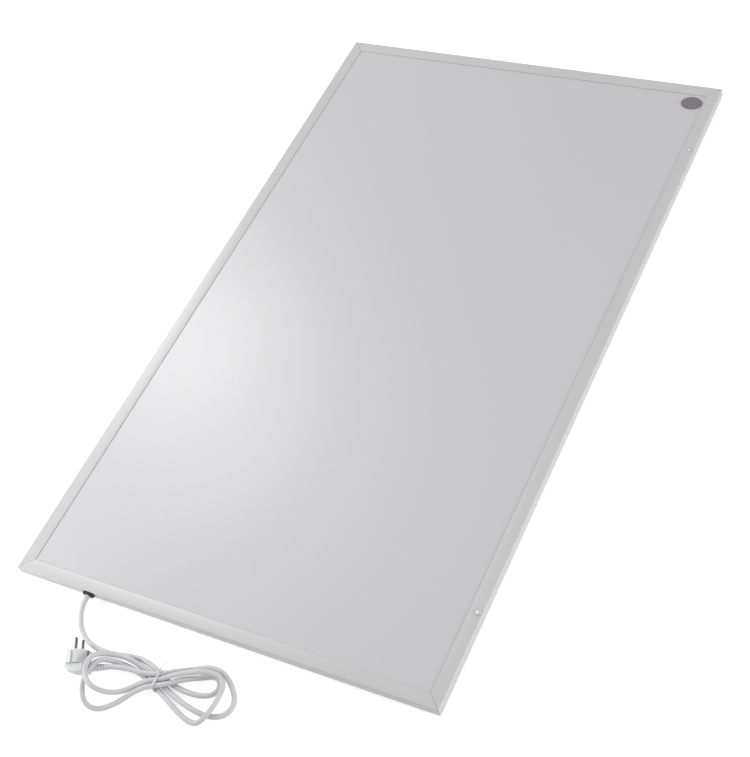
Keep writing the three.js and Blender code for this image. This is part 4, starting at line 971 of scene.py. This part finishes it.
class HEATER_OT_frame(bpy.types.Operator):
    """Makes the four mitred aluminium profiles"""

    bl_idname = "heater.frame"
    bl_label = "Frame"

    def execute(self, context):
        sizes = context.scene.heater_sizes
        for half, reach, names in (
            (PANEL_HALF_WIDTH, PANEL_HALF_LENGTH, ("frame_bottom", "frame_top")),
            (PANEL_HALF_LENGTH, PANEL_HALF_WIDTH, ("frame_right", "frame_left")),
        ):
            first = self.profile(names[0] + "_profile", half, reach, sizes)
            second = copy_of(first, names[1] + "_profile")
            if names[0] == "frame_bottom":
                self.cord_hole(first)
            for piece, cad in ((first, names[0]), (second, names[1])):
                turn = {"frame_bottom": 0, "frame_right": 1, "frame_top": 2, "frame_left": 3}[cad]
                place(piece, Matrix.Rotation(turn * math.pi / 2, 4, "Z"))
                smooth(piece)
                modify(piece, "WEIGHTED_NORMAL", keep_sharp=True)
                dress(piece, finish("frame"), "frame_lacquer", cad)
        return {"FINISHED"}

    def profile(self, name, half, reach, sizes):
        """A channel along X whose ends are mitred; its outer face is at y = -reach."""
        width = sizes.flange_width
        piece = start(name, bpy.ops.mesh.primitive_plane_add, size=1,
                      location=(0, width / 2 - reach, FRAME_FRONT), scale=(2 * half, width, 1))
        strips = 5
        edit(piece, "EDGE", lambda a, b: near(a.x, b.x))
        bpy.ops.mesh.subdivide(number_cuts=strips - 1)
        edit(piece, "EDGE", at(y=-reach))
        bpy.ops.mesh.extrude_region_move(
            TRANSFORM_OT_translate={"value": (0, 0, FRAME_BACK - FRAME_FRONT)})
        bpy.ops.mesh.extrude_region_move(
            TRANSFORM_OT_translate={"value": (0, sizes.rear_flange_width, 0)})
        edit(piece, "EDGE", at(y=-reach, z=FRAME_FRONT))
        bpy.ops.mesh.bevel(offset=sizes.frame_radius, segments=6, affect="EDGES")
        edit(piece, "FACE", everything)
        bpy.ops.mesh.normals_make_consistent(inside=False)
        to_object_mode()
        top = max(piece.data.polygons, key=lambda face: face.center.z)
        modify(piece, "SOLIDIFY", thickness=sizes.frame_wall, use_even_offset=True,
               offset=-1 if top.normal.z > 0 else 1)
        recalculate(piece)
        lip, fall = width - reach, sizes.flange_slope
        for strip in range(1, strips + 1):
            share = strip / strips
            edit(piece, "VERT", at(y=width * share - reach, z=FRAME_FRONT))
            bpy.ops.transform.translate(value=(0, 0, -fall * share * share))
        edit(piece, "VERT", at(y=lip, z=FRAME_FRONT - sizes.frame_wall))
        lip_drop = 0.2 * MM
        bpy.ops.transform.translate(value=(0, 0, -lip_drop))
        edit(piece, "EDGE", at(y=lip, z=FRAME_FRONT - fall))
        bpy.ops.mesh.bevel(offset=sizes.lip_bevel, segments=2, affect="EDGES")
        gap = sizes.mitre_gap / math.sqrt(2)
        for side in (-1, 1):
            cut_away(piece, (side * (half - gap), -reach, 0), (side, 1, 0))
        soften(piece, 0.15 * MM, 1)
        return piece

    def cord_hole(self, piece):
        low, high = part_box("cord_grommet")
        middle, reach = (low + high) / 2, 4 * MM
        hole = oval("cord_hole", 12.6 * MM, 9 * MM, -PANEL_HALF_LENGTH - reach,
                    -PANEL_HALF_LENGTH + reach, middle.x, middle.z)
        carve(piece, hole)


class HEATER_OT_screws(bpy.types.Operator):
    """Makes the two round-headed screws in the right-hand profile"""

    bl_idname = "heater.screws"
    bl_label = "Frame screws"

    def execute(self, context):
        radius = context.scene.heater_sizes.screw_head / 2
        seat = FRAME_FRONT + 0.3 * MM
        profile = [(0.0, -8 * MM), (1.6 * MM, -8 * MM), (1.6 * MM, 0.0), (radius, 0.0),
                   *dome(radius, 0.3 * MM, 0.9 * MM)]
        screw = turned("frame_screw_head_top", profile)
        smooth(screw, 40)
        twin = copy_of(screw, "frame_screw_head_bottom")
        for piece, cad in ((screw, "frame_screw_top"), (twin, "frame_screw_bottom")):
            set_over(piece, cad, seat)
            dress(piece, finish("screw"), "bright_steel", cad)
        return {"FINISHED"}


class HEATER_OT_badge(bpy.types.Operator):
    """Makes the bare oval badge with its raised rim"""

    bl_idname = "heater.badge"
    bl_label = "Badge"

    def execute(self, context):
        low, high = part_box("corner_badge")
        radius = (high.x - low.x) / 2
        rim, thick, raise_by = 1.2 * MM, 0.8 * MM, 0.3 * MM
        profile = [
            (0.0, 0.0), (radius, 0.0), (radius, thick * 0.9),
            (radius - 0.2 * MM, thick + raise_by), (radius - rim, thick + raise_by),
            (radius - rim - 0.3 * MM, thick), (0.0, thick + 0.1 * MM),
        ]
        badge = turned("corner_badge_disc", profile, 96)
        soften(badge, 0.08 * MM, 2, 30)
        smooth(badge, 25)
        flat = Matrix.Scale((high.y - low.y) / (high.x - low.x), 4, (0, 1, 0))
        set_over(badge, "corner_badge", low.z, flat)
        dress(badge, finish("badge"), "badge_plastic", "corner_badge")
        return {"FINISHED"}


class HEATER_OT_hangers(bpy.types.Operator):
    """Makes the four keyhole hangers and their rivets"""

    bl_idname = "heater.hangers"
    bl_label = "Hangers"

    def execute(self, context):
        first = self.hanger()
        rivet = self.rivet()
        for corner in ("top_left", "top_right", "bottom_left", "bottom_right"):
            piece = copy_of(first, "keyhole_hanger_" + corner)
            set_over(piece, "hanger_" + corner, 0)
            smooth(piece)
            dress(piece, finish("zinc"), "zinc_steel", "hanger_" + corner)
            for end in ("a", "b"):
                cad = f"hanger_rivet_{corner}_{end}"
                piece = copy_of(rivet, f"rivet_{corner}_{end}")
                set_over(piece, cad, 0)
                smooth(piece, 40)
                dress(piece, finish("zinc"), "zinc_steel", cad)
        for spare in (first, rivet):
            bpy.data.objects.remove(spare)
        return {"FINISHED"}

    def hanger(self):
        """A bent strip: a foot, a leg, a deck with a keyhole, a leg and a foot."""
        deck, foot, length, sheet = 34 * MM, 12 * MM, 60 * MM, 1.2 * MM
        foot_bottom = COVER_BOTTOM - 0.3 * MM - sheet
        strip = start("hanger_strip", bpy.ops.mesh.primitive_plane_add, size=1,
                      scale=(deck, length, 1))
        for side in (-1, 1):
            edit(strip, "EDGE", at(x=side * deck / 2))
            bpy.ops.mesh.extrude_region_move(TRANSFORM_OT_translate={"value": (0, 0, foot_bottom)})
            bpy.ops.mesh.extrude_region_move(TRANSFORM_OT_translate={"value": (side * foot, 0, 0)})
        edit(strip, "EDGE", lambda a, b: near(abs(a.x), deck / 2) and near(a.x, b.x)
             and near(a.z, b.z))
        bpy.ops.mesh.bevel(offset=1.6 * MM, segments=5, affect="EDGES")
        edit(strip, "FACE", everything)
        bpy.ops.mesh.normals_make_consistent(inside=False)
        to_object_mode()
        low = min(strip.data.polygons, key=lambda face: face.center.z)
        modify(strip, "SOLIDIFY", thickness=sheet, offset=1 if low.normal.z > 0 else -1,
               use_even_offset=True)
        recalculate(strip)
        slot = 5.2 * MM
        head = rod("head", (0, -9 * MM, 0), 5 * MM, 6 * MM)
        end = rod("end", (0, 5 * MM, 0), slot / 2, 6 * MM)
        way = block("way", (0, -2 * MM, 0), (slot, 14 * MM, 6 * MM))
        carve(strip, head, end, way)
        for side in (-1, 1):
            carve(strip, rod("corner", (side * 23 * MM, 0, foot_bottom), 1.8 * MM, 6 * MM, 32))
        soften(strip, 0.2 * MM, 2)
        return strip

    def rivet(self):
        """A domed rivet head under a foot, with its shank and set end inside the cover."""
        seat = COVER_BOTTOM - 0.3 * MM - 1.2 * MM - 0.3 * MM
        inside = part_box("rear_cover")[1].z + 0.3 * MM
        dome_pairs = [(radius, -height) for radius, height in dome(3 * MM, -seat, 1.1 * MM)]
        profile = [*reversed(dome_pairs), (1.5 * MM, seat), (1.5 * MM, inside),
                   (2.5 * MM, inside), (2.5 * MM, inside + 1.6 * MM), (1.6 * MM, inside + 2 * MM),
                   (0.0, inside + 2 * MM)]
        return turned("rivet_head", profile, 32)


class HEATER_OT_finishes(bpy.types.Operator):
    """Gives the CAD pieces that stay their real materials"""

    bl_idname = "heater.finishes"
    bl_label = "Finishes of the kept pieces"

    def execute(self, context):
        kept = {
            "plate": ["front_plate"],
            "cover": ["rear_cover"],
            "wool": ["insulation_board"],
            "foil": ["reflector_sheet"],
            "film": ["heating_element"],
            "nylon": ["terminal_block", "thermal_cutout_case"],
            "brass": ["terminal_screw_1", "terminal_screw_2", "terminal_screw_3", "fixed_contact",
                      "bimetal_arm"],
            "zinc": ["corner_key_top_right", "corner_key_top_left", "corner_key_bottom_left",
                     "corner_key_bottom_right", "earth_lug", "earth_screw"],
            "live": ["live_core", "live_link", "live_element_lead"],
            "neutral": ["neutral_core", "neutral_element_lead"],
            "earth": ["earth_core", "earth_bond_wire"],
        }
        for name, nodes in kept.items():
            for cad in nodes:
                piece = frame["nodes"][cad]
                piece.data.materials.clear()
                piece.data.materials.append(finish(name))
        return {"FINISHED"}


class HEATER_OT_declare_cord(bpy.types.Operator):
    """Does nothing; it leaves the cord's pieces as they are."""

    bl_idname = "heater.declare_cord"
    bl_label = "Declare the cord"

    def execute(self, context):
        return {"FINISHED"}


# ---- panel in the sidebar

STEPS = (
    HEATER_OT_stage,
    HEATER_OT_cord,
    HEATER_OT_tie,
    HEATER_OT_grommet,
    HEATER_OT_plug,
    HEATER_OT_frame,
    HEATER_OT_screws,
    HEATER_OT_badge,
    HEATER_OT_hangers,
    HEATER_OT_finishes,
    HEATER_OT_declare_cord,
)


class HEATER_PT_sidebar(bpy.types.Panel):
    """Lists the steps that build the heater."""

    bl_idname = "HEATER_PT_sidebar"
    bl_label = "Infrared panel heater"
    bl_space_type = "VIEW_3D"
    bl_region_type = "UI"
    bl_category = "Heater"

    def draw(self, context):
        for step in STEPS:
            self.layout.operator(step.bl_idname)


GROUPS = {
    "heater_sizes": HeaterSizes,
    "heater_colours": HeaterColours,
    "heater_studio": HeaterStudio,
}
CLASSES = (*GROUPS.values(), *STEPS, HEATER_PT_sidebar)


def register():
    for cls in CLASSES:
        bpy.utils.register_class(cls)
    for name, group in GROUPS.items():
        setattr(bpy.types.Scene, name, PointerProperty(type=group))


def unregister():
    for name in GROUPS:
        delattr(bpy.types.Scene, name)
    for cls in reversed(CLASSES):
        bpy.utils.unregister_class(cls)


def main():
    register()
    scene = bpy.context.scene
    scene.view_settings.view_transform = "Standard"
    for step in STEPS:
        group, name = step.bl_idname.split(".")
        getattr(getattr(bpy.ops, group), name)()


if __name__ == "__main__":
    main()
